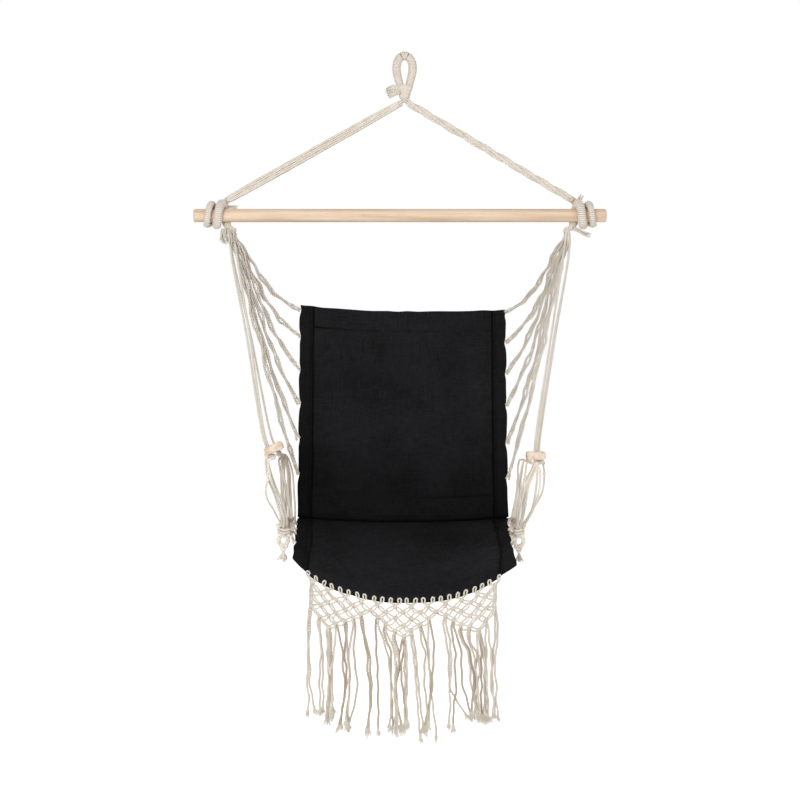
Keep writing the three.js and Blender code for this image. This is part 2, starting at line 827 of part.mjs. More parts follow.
// A flat strip through points given as distance sideways and up, whose width can change along it.
function strip(points, widthAt) {
  const last = points.length - 1;
  const corners = [];
  const faces = [];
  points.forEach(([x, z], i) => {
    const [aheadX, aheadZ] = points[Math.min(i + 1, last)];
    const [behindX, behindZ] = points[Math.max(i - 1, 0)];
    const across = new THREE.Vector2(behindZ - aheadZ, aheadX - behindX).normalize();
    across.multiplyScalar(widthAt(i) / 2);
    const corner = (hand, face) => at(x + hand * across.x, (face * netCord) / 2, z + hand * across.y);
    [-1, 1].forEach((hand) => [-hand, hand].forEach((face) => corners.push(corner(hand, face))));
  });
  const around = 4;
  for (let i = 0; i < last; i++)
    for (let k = 0; k < around; k++) {
      const a = i * around + k;
      const b = i * around + ((k + 1) % around);
      faces.push([a, b + around, b], [a, a + around, b + around]);
    }
  const end = last * around;
  faces.push([0, 1, 2], [0, 2, 3], [end, end + 2, end + 1], [end, end + 3, end + 2]);
  return shell(corners, faces);
}

const columnAt = (column) => (column - (netColumns - 1) / 2) * netPitch;
const netKnotPoint = (row, column) => [columnAt(column), -(row + 1) * netRow];

// Whether the net has a knot there: full rows first, then three points that narrow to their tips.
function hasKnot(row, column) {
  const even = row % 2 === 0;
  if (column < 0 || column > netColumns - 1 || row >= netRows) return false;
  if (Number.isInteger(column) !== even) return false;
  if (row < netFullRows) return true;
  return netTips.some((tip) => Math.abs(column - tip.column) <= (tip.row - row) / 2);
}

// Whether the outermost cords of a knot run straight down to the next knot at the net's side.
function edgeRunsOn(row, column, step) {
  const outside = column + step < 0 || column + step > netColumns - 1;
  return outside && hasKnot(row + 2, column);
}

// All knots of the net, and the cord pairs that leave it, in order from left to right.
function netLayout() {
  const knots = [];
  const leaving = [];
  for (let row = 0; row < netRows; row++)
    for (let half = 0; half <= 2 * (netColumns - 1); half++)
      if (hasKnot(row, half / 2)) knots.push({ row, column: half / 2 });
  knots.forEach(({ row, column }) =>
    [-1 / 2, 1 / 2].forEach((step) => {
      if (hasKnot(row + 1, column + step) || edgeRunsOn(row, column, step)) return;
      leaving.push({ row, column, reach: column + step * (1 + 1 / (row + 2)) });
    }),
  );
  leaving.sort((a, b) => a.reach - b.reach);
  return { knots, leaving };
}

// How much higher the seat's edge is at a place than in its middle.
const edgeLift = (sideways) => seatPoint((2 * sideways) / seatFrontWidth, 1).z - seatPoint(0, 1).z;

// Two strands side by side that hang from a knot, down to their own height.
function fringePair({ row, column }, index, count) {
  const slot = ((index + 1 / 2) / count - 1 / 2) * fringeWidth;
  const [from, top] = netKnotPoint(row, column);
  const sway = index % 2 ? fringeWave : -fringeWave;
  const reach = fringeLength * fringeEndShares[index % fringeEndShares.length] + edgeLift(slot);
  return [-1 / 2, 1 / 2].map((hand) => {
    const points = fringeFallShares.map((fall, i) => {
      const moved = Math.min(1, i);
      const sideways = from + (slot - from + hand * fringePairPitch) * moved + sway * fringeWaveShares[i];
      return [sideways, top - (reach + top) * fall];
    });
    return strip(points, (i) => (i === points.length - 1 ? fringeTuft : fringeStrand));
  });
}

// Loops on the seat's edge, knotted net and fringe, tied from the same cords.
function macrameFringe() {
  const { knots, leaving } = netLayout();
  const pieces = [];
  const strut = (a, b) => pieces.push(strip([a, b], () => netCord));
  knots.forEach(({ row, column }) => {
    const [x, z] = netKnotPoint(row, column);
    const ends = [z + netKnotHeight / 2, z, z - netKnotHeight / 2].map((height) => [x, height]);
    pieces.push(strip(ends, (i) => (i === 1 ? netKnotWidth : netCord)));
    [-1 / 2, 1 / 2].forEach((step) => {
      if (hasKnot(row + 1, column + step)) strut([x, z], netKnotPoint(row + 1, column + step));
      if (edgeRunsOn(row, column, step)) strut([x, z], netKnotPoint(row + 2, column));
      if (row === 0) strut([x, z], [columnAt(column + 2 * step * loopSpreadShare), loopRise]);
    });
  });
  leaving.forEach((pair, index) => pieces.push(...fringePair(pair, index, leaving.length)));
  console.log("net: " + knots.length + " knots, " + 2 * leaving.length + " strands");
  return onFrontEdge(joined(pieces));
}

const chair = new THREE.Group();

function add(name, geometry, colour) {
  const mesh = new THREE.Mesh(geometry, new THREE.MeshStandardMaterial({ color: colour }));
  mesh.name = name;
  chair.add(mesh);
}

const cotton = 0xe4dccb;
const canvas = 0x1c1c1f;
const beech = 0xe8d0ac;

add("hanging_eye", hangingEye(), cotton);
add("eye_tail", eyeTail(), cotton);
add("throat_whipping", throatWhipping(), cotton);
add("bridle_apex", bridleApex(), cotton);
for (let i = 0; i < bridleCordCount; i++) add("bridle_left_cord_" + (i + 1), bridleCordAt(i), cotton);
add("bridle_right_rope", bridleRopeRight(), cotton);
add("spreader_bar", spreaderBar(), beech);
add("wrap_tail_left", tail(leftTailRoute.map((p) => fromOuterTurn(-1, p))), cotton);
add("wrap_tail_right_top", tail(rightTopTailRoute.map((p) => fromOuterTurn(1, p))), cotton);
add("wrap_tail_right_low", tail(rightLowTailRoute.map((p) => fromOuterTurn(1, p))), cotton);
add("back_pad", backPad(), canvas);
add("seat_pad", seatPad(), canvas);
[
  ["left", leftSlat, leftGather, leftLowerCords],
  ["right", rightSlat, rightGather, rightLowerCords],
].forEach(([name, slat, gatherPlace, lowerCords]) => {
  const gather = gatherMiddle(slat.side, gatherPlace);
  add("bar_wrap_" + name, barWrap(slat.side), cotton);
  backCordSlots.forEach((_, i) => add(`back_cord_${name}_${i + 1}`, backCord(slat.side, i), cotton));
  add("armrest_" + name, armSlat(slat), beech);
  add(`arm_front_cord_${name}_1`, armCord(slat, "front", [-1, -1], pairShift, sideCord), cotton);
  add(`arm_front_cord_${name}_2`, armCord(slat, "front", [1, -1], -pairShift, sideCord), cotton);
  add(`arm_rear_cord_${name}`, armCord(slat, "rear", [-1, 1], 0, armRope), cotton);
  ["front", "rear"].forEach((end) => add(`arm_knot_${end}_${name}`, armKnotUnder(slat, end), cotton));
  lowerCords.forEach((lower, i) =>
    add(`lower_cord_${name}_${i + 1}`, lowerArmCord(slat, gather, lower), cotton),
  );
  add("gather_" + name, gatherKnot(slat.side, gather), cotton);
  add("tassel_" + name, tassel(gather), cotton);
});
add("macrame_fringe", macrameFringe(), cotton);

export default chair;
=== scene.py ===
import math

import bpy
import numpy as np
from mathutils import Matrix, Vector


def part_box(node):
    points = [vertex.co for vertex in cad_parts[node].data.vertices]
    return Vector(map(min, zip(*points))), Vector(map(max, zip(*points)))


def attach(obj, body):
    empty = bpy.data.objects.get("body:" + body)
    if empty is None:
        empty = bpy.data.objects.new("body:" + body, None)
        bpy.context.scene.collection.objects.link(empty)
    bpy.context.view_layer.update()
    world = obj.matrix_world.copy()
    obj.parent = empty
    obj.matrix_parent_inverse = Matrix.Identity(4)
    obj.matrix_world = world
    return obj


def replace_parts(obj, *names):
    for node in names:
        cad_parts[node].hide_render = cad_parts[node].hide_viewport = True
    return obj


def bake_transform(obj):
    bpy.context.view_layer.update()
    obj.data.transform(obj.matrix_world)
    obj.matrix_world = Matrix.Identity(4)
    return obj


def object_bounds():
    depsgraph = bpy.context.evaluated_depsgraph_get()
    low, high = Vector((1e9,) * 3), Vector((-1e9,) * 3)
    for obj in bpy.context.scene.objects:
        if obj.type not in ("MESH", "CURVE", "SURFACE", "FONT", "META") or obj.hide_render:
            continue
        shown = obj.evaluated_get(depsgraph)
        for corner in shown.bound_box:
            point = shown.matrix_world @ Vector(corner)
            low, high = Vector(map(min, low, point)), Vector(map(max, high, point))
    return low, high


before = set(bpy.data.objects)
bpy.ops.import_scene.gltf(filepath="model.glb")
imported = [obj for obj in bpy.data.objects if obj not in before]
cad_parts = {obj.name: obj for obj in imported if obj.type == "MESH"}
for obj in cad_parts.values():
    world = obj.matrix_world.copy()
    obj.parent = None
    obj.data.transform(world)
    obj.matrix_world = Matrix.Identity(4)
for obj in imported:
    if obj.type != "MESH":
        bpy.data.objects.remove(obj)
CAD_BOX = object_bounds()
MM = 0.001
RANDOM = np.random.default_rng(7)


def mm(*values):
    """Lengths or points given in millimetres, as metres."""
    return np.array(values if len(values) > 1 else values[0], float) * MM


def box_of(solid):
    """The lowest and the highest corner of a solid of the CAD model."""
    return [np.array(corner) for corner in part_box(solid)]


# Sizes of the ropes and cords
EYE_ROPE = mm(21)
EYE_FOOT_ROPE = mm(18.6)
EYE_NOTCHES, EYE_NOTCH_WIDTH, EYE_NOTCH_DEPTH = mm(-8, 8), mm(0.9), mm(2.2)
TAIL_CORDS, TAIL_CORD = 7, mm(6.2)
THROAT_WIDTH, THROAT_TAPER, THROAT_DEPTH = mm(39.5), mm(15), 0.72
WRAP_ROPE = mm(17)
EYE_WINDING = mm(3.3)
WRAP_WINDING = mm(3.8)
THROAT_WINDING = mm(3.4)
THROAT_LEAN = 20
KNUCKLE_CORDS, KNUCKLE_CORD, KNUCKLE_REACH = 5, mm(6), mm(4.8)
LEG_PAIRS, BRIDLE_CORD, LEG_PLIES, LEG_LAY = 4, mm(5.1), 4, mm(150)
TWIST_STRANDS, TWIST_LAY, TWIST_REACH = 3, mm(168), mm(4.7)
YARNS, YARN, YARN_LAY, YARN_REACH = 6, mm(3.7), mm(260), mm(2.9)
YARN_PLIES, YARN_PLY_LAY, YARN_WANDER, TWIST_ENDS = 3, mm(40), mm(61), mm(20)
# Pairs of cords: how far each is off their middle as a share of its thickness, how much more where they
# part, the size of their waves, and in mm the range of their lay, of their partings and of their waves
PAIR_SHARE, PAIR_PARTING, PAIR_WAVE = 0.46, mm(1.4), mm(0.8)
PAIR_LAYS, PAIR_PARTINGS, PAIR_WAVES = (200, 300), (90, 150), (35, 60)
SIDE_CORD = mm(6.6)
ARM_CORD = mm(6.2)
LOWER_CORD = mm(6.2)
NET_CORD = mm(4.9)
LOOP_CORD = mm(4.2)
FRINGE_CORD = mm(5.8)
KNOT_SIZE = mm(10)
# Frays: their length, how wide they spread, the number of their fibres and a fibre's radius
EYE_FRAY = mm(4.5), 0.3, 16, mm(0.9)
KNOT_FRAY = mm(5), 0.25, 5, mm(0.5)
TASSEL_FRAY = mm(8), 0.25, 7, mm(0.55)
FRINGE_FRAY = mm(24), 0.33, 32, mm(1.05)
CORD_STEP = mm(2)
WINDING_STEP = mm(0.6)
SPLINE_STEPS = 14
LAY_DIAMETERS = 3.4
PLIES, PLY_SHARE, PLY_SIDES = 3, 0.52, 5

# Places on the bar, outwards from the outer rope turn, back and up from the bar's axis
BAR_LOW, BAR_HIGH = box_of("spreader_bar")
BAR_MIDDLE = (BAR_LOW + BAR_HIGH) / 2
BAR_HALF = (BAR_HIGH - BAR_LOW)[0] / 2
BAR_RADIUS = (BAR_HIGH - BAR_LOW)[2] / 2
BAR_EDGE, BAR_SIDES = mm(3.2), 72
OUTER_TURN = BAR_HALF - mm(36)
WRAP_PITCH = mm(25)
# Degrees round the bar where the turns start and where their pitch is taken from, their points, and
# the degrees between these
WRAP_START, WRAP_FRONT, WRAP_POINTS, WRAP_STEP = -70, -180, 24, 30
# The points that lie over another turn, and shares of the rope's width
WRAP_RAISED = range(9, 20)
WRAP_FIRST, WRAP_SWELL, WRAP_NECKING = 0.96, 0.32, 0.64
# The middle of the rope off the bar's face: under it, how much more over it, and over another turn
WRAP_TIGHT, WRAP_LOOSE, WRAP_OVER = mm(6.4), mm(4.8), mm(1.2)
WRAP_INWARD = mm(1)
WRAP_LEAD = mm((-51, 8, 42), (-41.5, 20, 38.5), (-31, 36, 26), (-18, 45.5, 6), (-6, 40, -9), (2, 27, -17))
SPLAY = mm((-52, 0.5, -37), (-57.5, 0.5, -54))
NECK = mm((-49, 0.5, -29), (-65, -1, -36))
# The cut ends at the left neck: the root and the tip of each
NECK_ENDS = (
    ((-34, -6, -33), (-38, -15, -66)), ((-37, -8, -34), (-32, -14, -60)),
    ((-44, -9, -36), (-46, -18, -64)), ((-48, -10, -36), (-52, -19, -58)),
    ((-52, -9, -36), (-60, -18, -62)), ((-56, -9, -37), (-66, -16, -54)),
    ((-40, -8, -35), (-42, -19, -56)), ((-50, -9, -36), (-54, -17, -68)),
)
NECK_END_STRANDS, NECK_END_SIZES, NECK_END_STRAY = 2, mm(4.8, 1, 7), 3
# The other cut ends: piece, solid, side, route, strands, and their thickness, spread and length of fray
LOOSE_ENDS = (
    ("left_loose_end", "left", -1, ((-34, 16, 22), (-50, 18, 24), (-64, 16, 23)), 3, (4.6, 0.5, 6)),
    ("right_top_loose_end", "right_top", 1, ((-38, 6, 24), (-31, 2, 36), (-26, 0, 44)), 4, (5.4, 1, 8)),
    (
        "right_low_loose_end", "right_low", 1,
        ((-44, -6, -32), (-32, -9, -37), (-19, -8, -44), (-9, -6, -47)), 4, (4.8, 1.5, 8),
    ),
)

# The rope eye
EYE_LEFT = mm((-9, -74), (-10.8, -64), (-13.2, -54), (-16.4, -42), (-19.6, -24), (-17.4, -6), (-9.6, 6.2))
EYE_TOP = mm(0, 9.4)
EYE_ROUTE = np.vstack([EYE_LEFT, [EYE_TOP], EYE_LEFT[::-1] * (-1, 1)])
# The frayed end's first cord, and how far the last one's root lies from it
TAIL_ROOT, TAIL_TIP, TAIL_ROOT_SHIFT = mm(-13, -6, -68), mm(-41, -4, -69), mm(2, -2, -14)
# The saddle of cords at the knuckle of the bridle, across, back and up from its middle
SADDLE = mm((-13, 0, -7.5), (-7, 0, -1.5), (0, 0, 2.6), (7, 0, -1.5), (13, 0, -7.5))

# The sling
SLING_MID = mm(-4)
SLING_WIDTH = mm(524)
HEM, HEM_WIDTH, PAD, PAD_RISE = mm(4), mm(34), mm(21), mm(60)
CREASE_DROP, CREASE_LIFT, CREASE_BACK, CREASE_HEM, CREASE_GAP = mm(1130), mm(11), mm(88), mm(8), mm(2.8)
BACK_HEIGHT, BACK_LEAN, BACK_BOW, BACK_CORNER_LIFT, BACK_TOP_HEM = mm(530), mm(100), mm(14), mm(6), mm(52)
SEAT_FRONT_WIDTH, SEAT_LENGTH, SEAT_DROP, SEAT_SIDE_DROP = mm(500), mm(430), mm(142), mm(65)
SEAT_HOLLOW, RIM_RISE = mm(8), mm(46)
LOW_SEAM, HEM_TONES, SEAM_SHADE, SEAM_DEPTH, SEAM_REAR_DEPTH = mm(474), (0.86, 0.72), 0.96, mm(2.6), mm(1.2)
SEAM_WIDTH, TOP_SEAM_WIDTH, LOW_SEAM_WIDTH = mm(2.6), mm(2.4), mm(2.0)
STITCH_WIDTH, STITCH_OUT, STITCH_SHARE = mm(1.6), mm(7), 0.4
CREASE_SHADE_WIDTH, CREASE_SHADE = mm(5.5), 0.85
CORD_PULL, CORD_PULL_WIDTH, CORD_PULL_REACH, CLOTH_LEAST = mm(3.4), mm(12), mm(14), mm(0.8)
SIDE_WAVE_DEPTH, SIDE_WAVE_LENGTH = mm(0.9), mm(21)
# Depths of the puckers beside the seams, of the padding's hills and of the cloth's, and the puckers' reach
PUCKER, PAD_HILLS, CLOTH_HILLS, PUCKER_REACH = mm(0.3), mm(1.0), mm(0.45), mm(13)
RIGHT_CORNER_DROP, TOP_FRILL = mm(13.5), mm(0.7)
PANEL_COLUMNS = 33
CLOTH_GRID, CLOTH_STEPS, CLOTH_HELD, CLOTH_CAP = 2, 20, 0.35, mm(3.5)
CLOTH_STIFFNESS, CLOTH_BENDING, CLOTH_PRESSURE, CLOTH_GROWTH = 12, 0.3, 1.0, 0.02
# How far the seat's front edge hangs above an even curve, at places from -1 on the left to 1 on the right
EDGE_PLACES = (-1, -0.8, -0.62, -0.45, -0.2, 0.2, 0.4, 0.6, 0.78, 0.87, 0.95, 1)
EDGE_LIFTS = mm(-1, 0, 2.5, 4.5, 3, 1.5, -1, -3.5, -7, -12, -9, -5)
SEAT_ROUND_SHARE, SEAT_CORNER_SHARE, SEAT_CORNER_POWER, CUP_POWER = 0.098, 0.09, 12, 2.4

# Side cords
STRAND_PITCH, STRAND_ROW, CORD_LEAD, SIDE_WAVE = mm(5), mm(4.4), mm(8), mm(3)
SIDE_SAGS = mm(20, 19, 16, 12, 8, 5)
WAVE_SHARES = (0, 0.7, -0.6, 0.8, -0.5, 0.6, -0.4, 0)
BACK_SLOTS = ((1, 1), (0, 1), (1.5, 0), (0.5, 0), (-0.5, 0), (0, -1))
EDGE_SHARES = {-1: (0.026, 0.151, 0.31, 0.473, 0.64, 0.804), 1: (0.037, 0.183, 0.329, 0.482, 0.659, 0.826)}
END_KNOT_SHARE = 0.955
KNOT_SHARES = {
    -1: ((0.88,), (0.62, 0.9), (0.9,), (0.7,), (0.55, 0.9), (0.86,)),
    1: ((0.6, 0.9), (0.88,), (0.5, 0.9), (0.66,), (0.9,), (0.6, 0.88)),
}

# Arm slats
SLAT_LENGTH, SLAT_THICKNESS, SLAT_WIDTH, HOLE_INSET = mm(380), mm(20), mm(44), mm(30)
ARM_KNOT, ARM_KNOT_LENGTH, SLAT_HOLE = mm(17), mm(19), mm(13)
ARM_CORD_GIVE = mm(150)
# For each cord to a slat: the slat's end, its place in the neck's bunch, and how far out it is in the hole
ARM_SLOTS = (("front", (-1, -1), mm(2.3)), ("front", (1, -1), mm(-2.3)), ("rear", (-1, 1), 0.0))
SLATS = {
    -1: dict(gap=mm(9.8), rise=mm(188), splay=3.75, dip=1.45, roll=25, front=mm(10), rear=mm(-3)),
    1: dict(gap=mm(22.3), rise=mm(170), splay=4, dip=1.65, roll=0, front=mm(0), rear=mm(12)),
}

# Gathers beside the seat
GATHER_SHARE = 0.31
GATHER_OUT = {-1: mm(27.3, -9), 1: mm(18.3, -11)}
GATHER_PITCH, GATHER_HEIGHT, GATHER_DIAMETER = mm(6.4), mm(12), mm(24)
RING_ROPE, RING_WIDTH, RING_HEIGHT = mm(11), mm(22), mm(26)
TIE_SHARES = (0.17, 0.42, 0.66)
RING_KNOTS, CHAIN_KNOTS = 13, 4
COLLAR_WINDING, BAND_CORD, BAND_LAY, TIE_CORD = mm(3.6), mm(7), mm(15), mm(5.2)
# Knots, each with its size and the thickness of its cord
RING_KNOT, OUTER_KNOT, INNER_KNOT, TASSEL_KNOT = mm(14, 5.2), mm(10, 4.2), mm(12, 4.6), mm(17, 6)
BAND_REACH = {-1: 33, 1: 25}
TIE_ROOTS, TIE_BENDS = (36, 14, 6), (14, 9, 9)
TASSEL_LENGTH, TASSEL_STRANDS, TASSEL_CORD = mm(30), 20, mm(4.4)
LOWER_PART = mm(-1055)
LOWER_SPREAD, LOWER_DEEP, LOWER_STRAY, LOWER_LAY = mm(5.6), mm(3), 1.8, mm(26)
# For each bundle: the end of its slat, its number of cords, how far inward and in which row it meets the
# gather, the way it leaves the knot, and its route outwards, back and up from the gather
LOWER_CORDS = {
    -1: (
        ("front", 3, 2, -1, (-1.5, 0.2), ((22, -140, 150), (8, -98, 94), (-5, -54, 42))),
        ("front", 1, -6, 0, (-0.6, -0.3), ((25, -146, 148), (31, -126, 102), (15, -78, 58), (7, -36, 30))),
        ("rear", 4, 22, 0, (2.5, 0), ((6, 172, 172), (-4, 152, 140), (-9, 116, 98), (-18, 60, 42))),
        ("rear", 4, 10, 1, (2, -0.2), ((13, 170, 171), (9, 158, 138), (4, 112, 88), (-4, 50, 36))),
    ),
    1: (
        ("front", 4, 4, -1, (-0.4, 0.2), ((7, -130, 124), (1, -96, 80), (-2, -50, 38))),
        ("front", 2, -5, 0, (0.4, -0.2), ((35, -138, 120), (27, -104, 72), (13, -42, 30))),
        (
            "rear", 1, -8, 1, (2.5, 0),
            ((72, 174, 172), (76, 158, 140), (68, 130, 98), (44, 78, 52), (16, 34, 22)),
        ),
        ("rear", 4, 16, 0, (-2.5, 0), ((27, 174, 173), (17, 152, 132), (7, 112, 88), (-8, 54, 34))),
    ),
}

# Net and fringe
NET_COLUMNS, NET_ROWS, NET_FULL_ROWS = 12, 7, 3
NET_PITCH, NET_ROW = mm(37.2), mm(13.3)
NET_TIPS = ((1, 6), (5.5, 5), (10, 6))
NET_OUT = mm(3.1)
NET_PART, NET_SLACK, NET_DROOP = mm(3.5), mm(1.4), mm(2.2)
NET_STRAY = mm(1.5)
# A square knot: half its width, the height of a wrap off its middle, and how far it stands out
NET_KNOT_HALF, NET_KNOT_HEIGHT, NET_KNOT_OUT = mm(4.2), mm(1.8), mm(3)
LOOP_HALF, LOOP_RISE, LOOP_LIFT = mm(3.3), mm(3.5), mm(0.7)
# A loop's route: across in half widths, up in rises and out in mm
LOOP_ROUTE = (
    (-0.8, -1.9, 0), (-0.95, -0.9, 0.2), (-1, 0.1, 0.2), (-0.75, 0.85, -0.5), (0, 1.1, -1.2),
    (0.75, 0.85, -0.5), (1, 0.1, 0.2), (0.95, -0.9, 0.2), (0.8, -1.9, 0),
)
LOOP_FOOT = mm(2.2, 2)
FRINGE_WAVE, FRINGE_WAVE_LEAST = mm(1.7), mm(40)
FRINGE_KINK, FRINGE_KINKS, FRINGE_KINK_START = mm(0.8), (34, 62), mm(60)
# Where a strand leaves its knot: out from it, apart from the other strand, and how far it falls first
FRINGE_OUT, FRINGE_PART, FRINGE_FALL = mm(2.5), mm(2.6), mm(15)
FRINGE_DEEP, FRINGE_TUFT, FRINGE_BEND = mm(2), 17, mm(205)
FRINGE_LEVELS = mm(-117, -195)
# Where the two strands of each pair hang: across at both levels and at the end, and the end's drop
FRINGE_PAIRS = (
    ((-213, -215, -213, 268), (-212, -209, -199, 260)),
    ((-183, -187, -185, 257), (-180, -180, -179, 259)),
    ((-169, -166, -171, 272), (-166, -162, -167, 279)),
    ((-164, -161, -161, 270), (-160, -159, -157, 261)),
    ((-154, -158, -159, 255), (-135, -129, -138, 290)),
    ((-131, -127, -142, 295), (-123, -119, -127, 281)),
    ((-121, -119, -122, 295), (-110, -102, -119, 290)), ((-80, -74, -77, 303), (-75, -70, -81, 301)),
    ((-59, -56, -55, 303), (-35, -27, -29, 290)), ((-27, -26, -23, 295), (-19, -19, -17, 305)),
    ((-17, -18, -13, 292), (-10, -19, -5, 288)), ((-8, -16, -5, 295), (0, -1, 7, 283)),
    ((4, 5, 4, 288), (8, 9, 10, 281)), ((22, 29, 37, 316), (28, 35, 44, 297)),
    ((49, 48, 54, 295), (55, 62, 58, 288)), ((57, 61, 74, 316), (68, 64, 48, 297)),
    ((100, 103, 102, 290), (106, 104, 137, 270)), ((116, 118, 112, 297), (129, 133, 149, 268)),
    ((144, 152, 167, 270), (148, 158, 154, 266)), ((156, 165, 158, 270), (163, 160, 163, 266)),
    ((167, 166, 171, 270), (174, 175, 177, 275)), ((179, 185, 180, 277), (182, 181, 186, 275)),
    ((186, 187, 191, 279), (196, 195, 202, 268)), ((202, 200, 205, 270), (208, 209, 212, 275)),
)


def unit(v):
    """Vectors at length 1."""
    return v / np.maximum(np.linalg.norm(v, axis=-1, keepdims=True), 1e-12)


def close_to(distance, width):
    """1 at no distance, falling smoothly to nearly 0 at twice the width."""
    return np.exp(-((distance / width) ** 2))


def ramped(value, start, length):
    """0 up to the start, then rising evenly to 1 over the length."""
    return np.clip((value - start) / length, 0, 1)


def lengths_along(points):
    """The length of a line up to each of its points."""
    return np.concatenate([[0], np.cumsum(np.linalg.norm(np.diff(points, axis=0), axis=1))])


def resampled(points, step):
    """The same line with even steps."""
    lengths = lengths_along(points)
    count = max(3, int(round(lengths[-1] / step)) + 1)
    even = np.linspace(0, lengths[-1], count)
    return np.stack([np.interp(even, lengths, points[:, k]) for k in range(3)], axis=1)


def between(a, b, start, end, t):
    """The points at t on a straight line that is at a where t is start, and at b where t is end."""
    return (a * (end - t) + b * (t - start)) / (end - start)


def spline(points, step=CORD_STEP):
    """A smooth curve through the points, with even steps."""
    p = np.asarray(points, float)
    p = np.vstack([2 * p[0] - p[1], p, 2 * p[-1] - p[-2]])
    rows = []
    for a, b, c, d in zip(p, p[1:], p[2:], p[3:]):
        gaps = [max(np.linalg.norm(q - r), 1e-9) ** 0.5 for q, r in ((b, a), (c, b), (d, c))]
        t0, t1, t2, t3 = np.cumsum([0, *gaps])
        t = np.linspace(t1, t2, SPLINE_STEPS, endpoint=False)[:, None]
        first, second, third = between(a, b, t0, t1, t), between(b, c, t1, t2, t), between(c, d, t2, t3, t)
        left, right = between(first, second, t0, t2, t), between(second, third, t1, t3, t)
        rows.append(between(left, right, t1, t2, t))
    return resampled(np.vstack([*rows, p[-2:-1]]), step)


def ways_along(points):
    """The line's direction at each point."""
    return unit(np.gradient(points, axis=0))


def ways_across(points):
    """Two directions across a line, that never twist about it."""
    along = ways_along(points)
    across = np.empty_like(points)
    seed = np.array((0, 1, 0)) if abs(along[0][1]) < 0.9 else np.array((1, 0, 0))
    last = unit(seed - along[0] * (seed @ along[0]))
    for i, way in enumerate(along):
        last = last - way * (last @ way)
        last = last / np.linalg.norm(last)
        across[i] = last
    return across, np.cross(along, across)


def in_scene(name, data, place=(0, 0, 0)):
    """A new object at its place in the scene."""
    made = bpy.data.objects.new(name, data)
    made.location = place
    bpy.context.scene.collection.objects.link(made)
    return made


class Build:
    """Corners and faces of one piece. Each corner has a crease value that darkens its colour as painted
    shade, 1 in the open and 0 deep in a crease.
    """

    def __init__(self):
        self.corners, self.quads, self.tris, self.creases, self.count = [], [], [], [], 0

    def grid(self, rings, creases, closed=True):
        """A capped tube or an open sheet from rings of corners, shaped (rings, corners in a ring, 3)."""
        rows, columns = rings.shape[:2]
        index = self.count + np.arange(rows * columns).reshape(rows, columns)
        ahead = np.roll(index, -1, axis=1) if closed else index[:, 1:]
        here = index if closed else index[:, :-1]
        quads = np.stack([here[:-1], ahead[:-1], ahead[1:], here[1:]], axis=-1).reshape(-1, 4)
        self.quads.append(quads)
        self.corners.append(rings.reshape(-1, 3))
        self.creases.append(np.broadcast_to(creases, (rows, columns)).reshape(-1))
        self.count += rows * columns
        if closed:
            for ring, turn in ((0, 1), (rows - 1, -1)):
                middle = self.count
                self.corners.append(rings[ring].mean(0)[None])
                # The middle of each cap is painted half in shade.
                self.creases.append(np.array([0.5]))
                self.count += 1
                a, b = index[ring], np.roll(index[ring], -1)
                fan = np.stack([np.full(columns, middle), b, a][::turn], axis=-1)
                self.tris.append(fan)

    def piece(self, name, material, body=None, slot="cotton_cord"):
        """The object made of these faces, with its material and its body. Its slot is not used."""
        mesh = bpy.data.meshes.new(name)
        corners = np.vstack(self.corners)
        quads = np.vstack(self.quads) if self.quads else np.zeros((0, 4), int)
        tris = np.vstack(self.tris) if self.tris else np.zeros((0, 3), int)
        mesh.vertices.add(len(corners))
        mesh.vertices.foreach_set("co", corners.astype(np.float32).ravel())
        order = np.concatenate([quads.ravel(), tris.ravel()])
        mesh.loops.add(len(order))
        mesh.loops.foreach_set("vertex_index", order.astype(np.int32))
        mesh.polygons.add(len(quads) + len(tris))
        starts = np.concatenate([4 * np.arange(len(quads)), quads.size + 3 * np.arange(len(tris))])
        mesh.polygons.foreach_set("loop_start", starts.astype(np.int32))
        mesh.polygons.foreach_set("use_smooth", np.ones(len(quads) + len(tris), bool))
        mesh.update(calc_edges=True)
        mesh.validate()
        creases = mesh.attributes.new("crease", "FLOAT", "POINT")
        creases.data.foreach_set("value", np.concatenate(self.creases).astype(np.float32))
        mesh.materials.append(material)
        made = in_scene(name, mesh)
        if body:
            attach(made, body)
        return made


def ring_of(centres, outward, sideways, radii, sides):
    """Rings of corners round a line, from two directions across it."""
    angle = 2 * math.pi * np.arange(sides)[:, None] / sides
    radii = np.asarray(radii, float)
    if radii.ndim == 1:
        radii = radii[:, None]
    spoke = outward[:, None] * np.cos(angle) + sideways[:, None] * np.sin(angle)
    return centres[:, None] + spoke * radii[..., None]


def radius_along(diameter, points):
    """The radius at each point, from one diameter or from one for each point."""
    return np.broadcast_to(np.asarray(diameter, float) / 2, (len(points),))


def tube(build, points, radius, sides=8, crease=1.0):
    """A plain round strand, painted with one depth of shade all along by its crease value."""
    across, other = ways_across(points)
    build.grid(ring_of(points, across, other, radius, sides), crease)


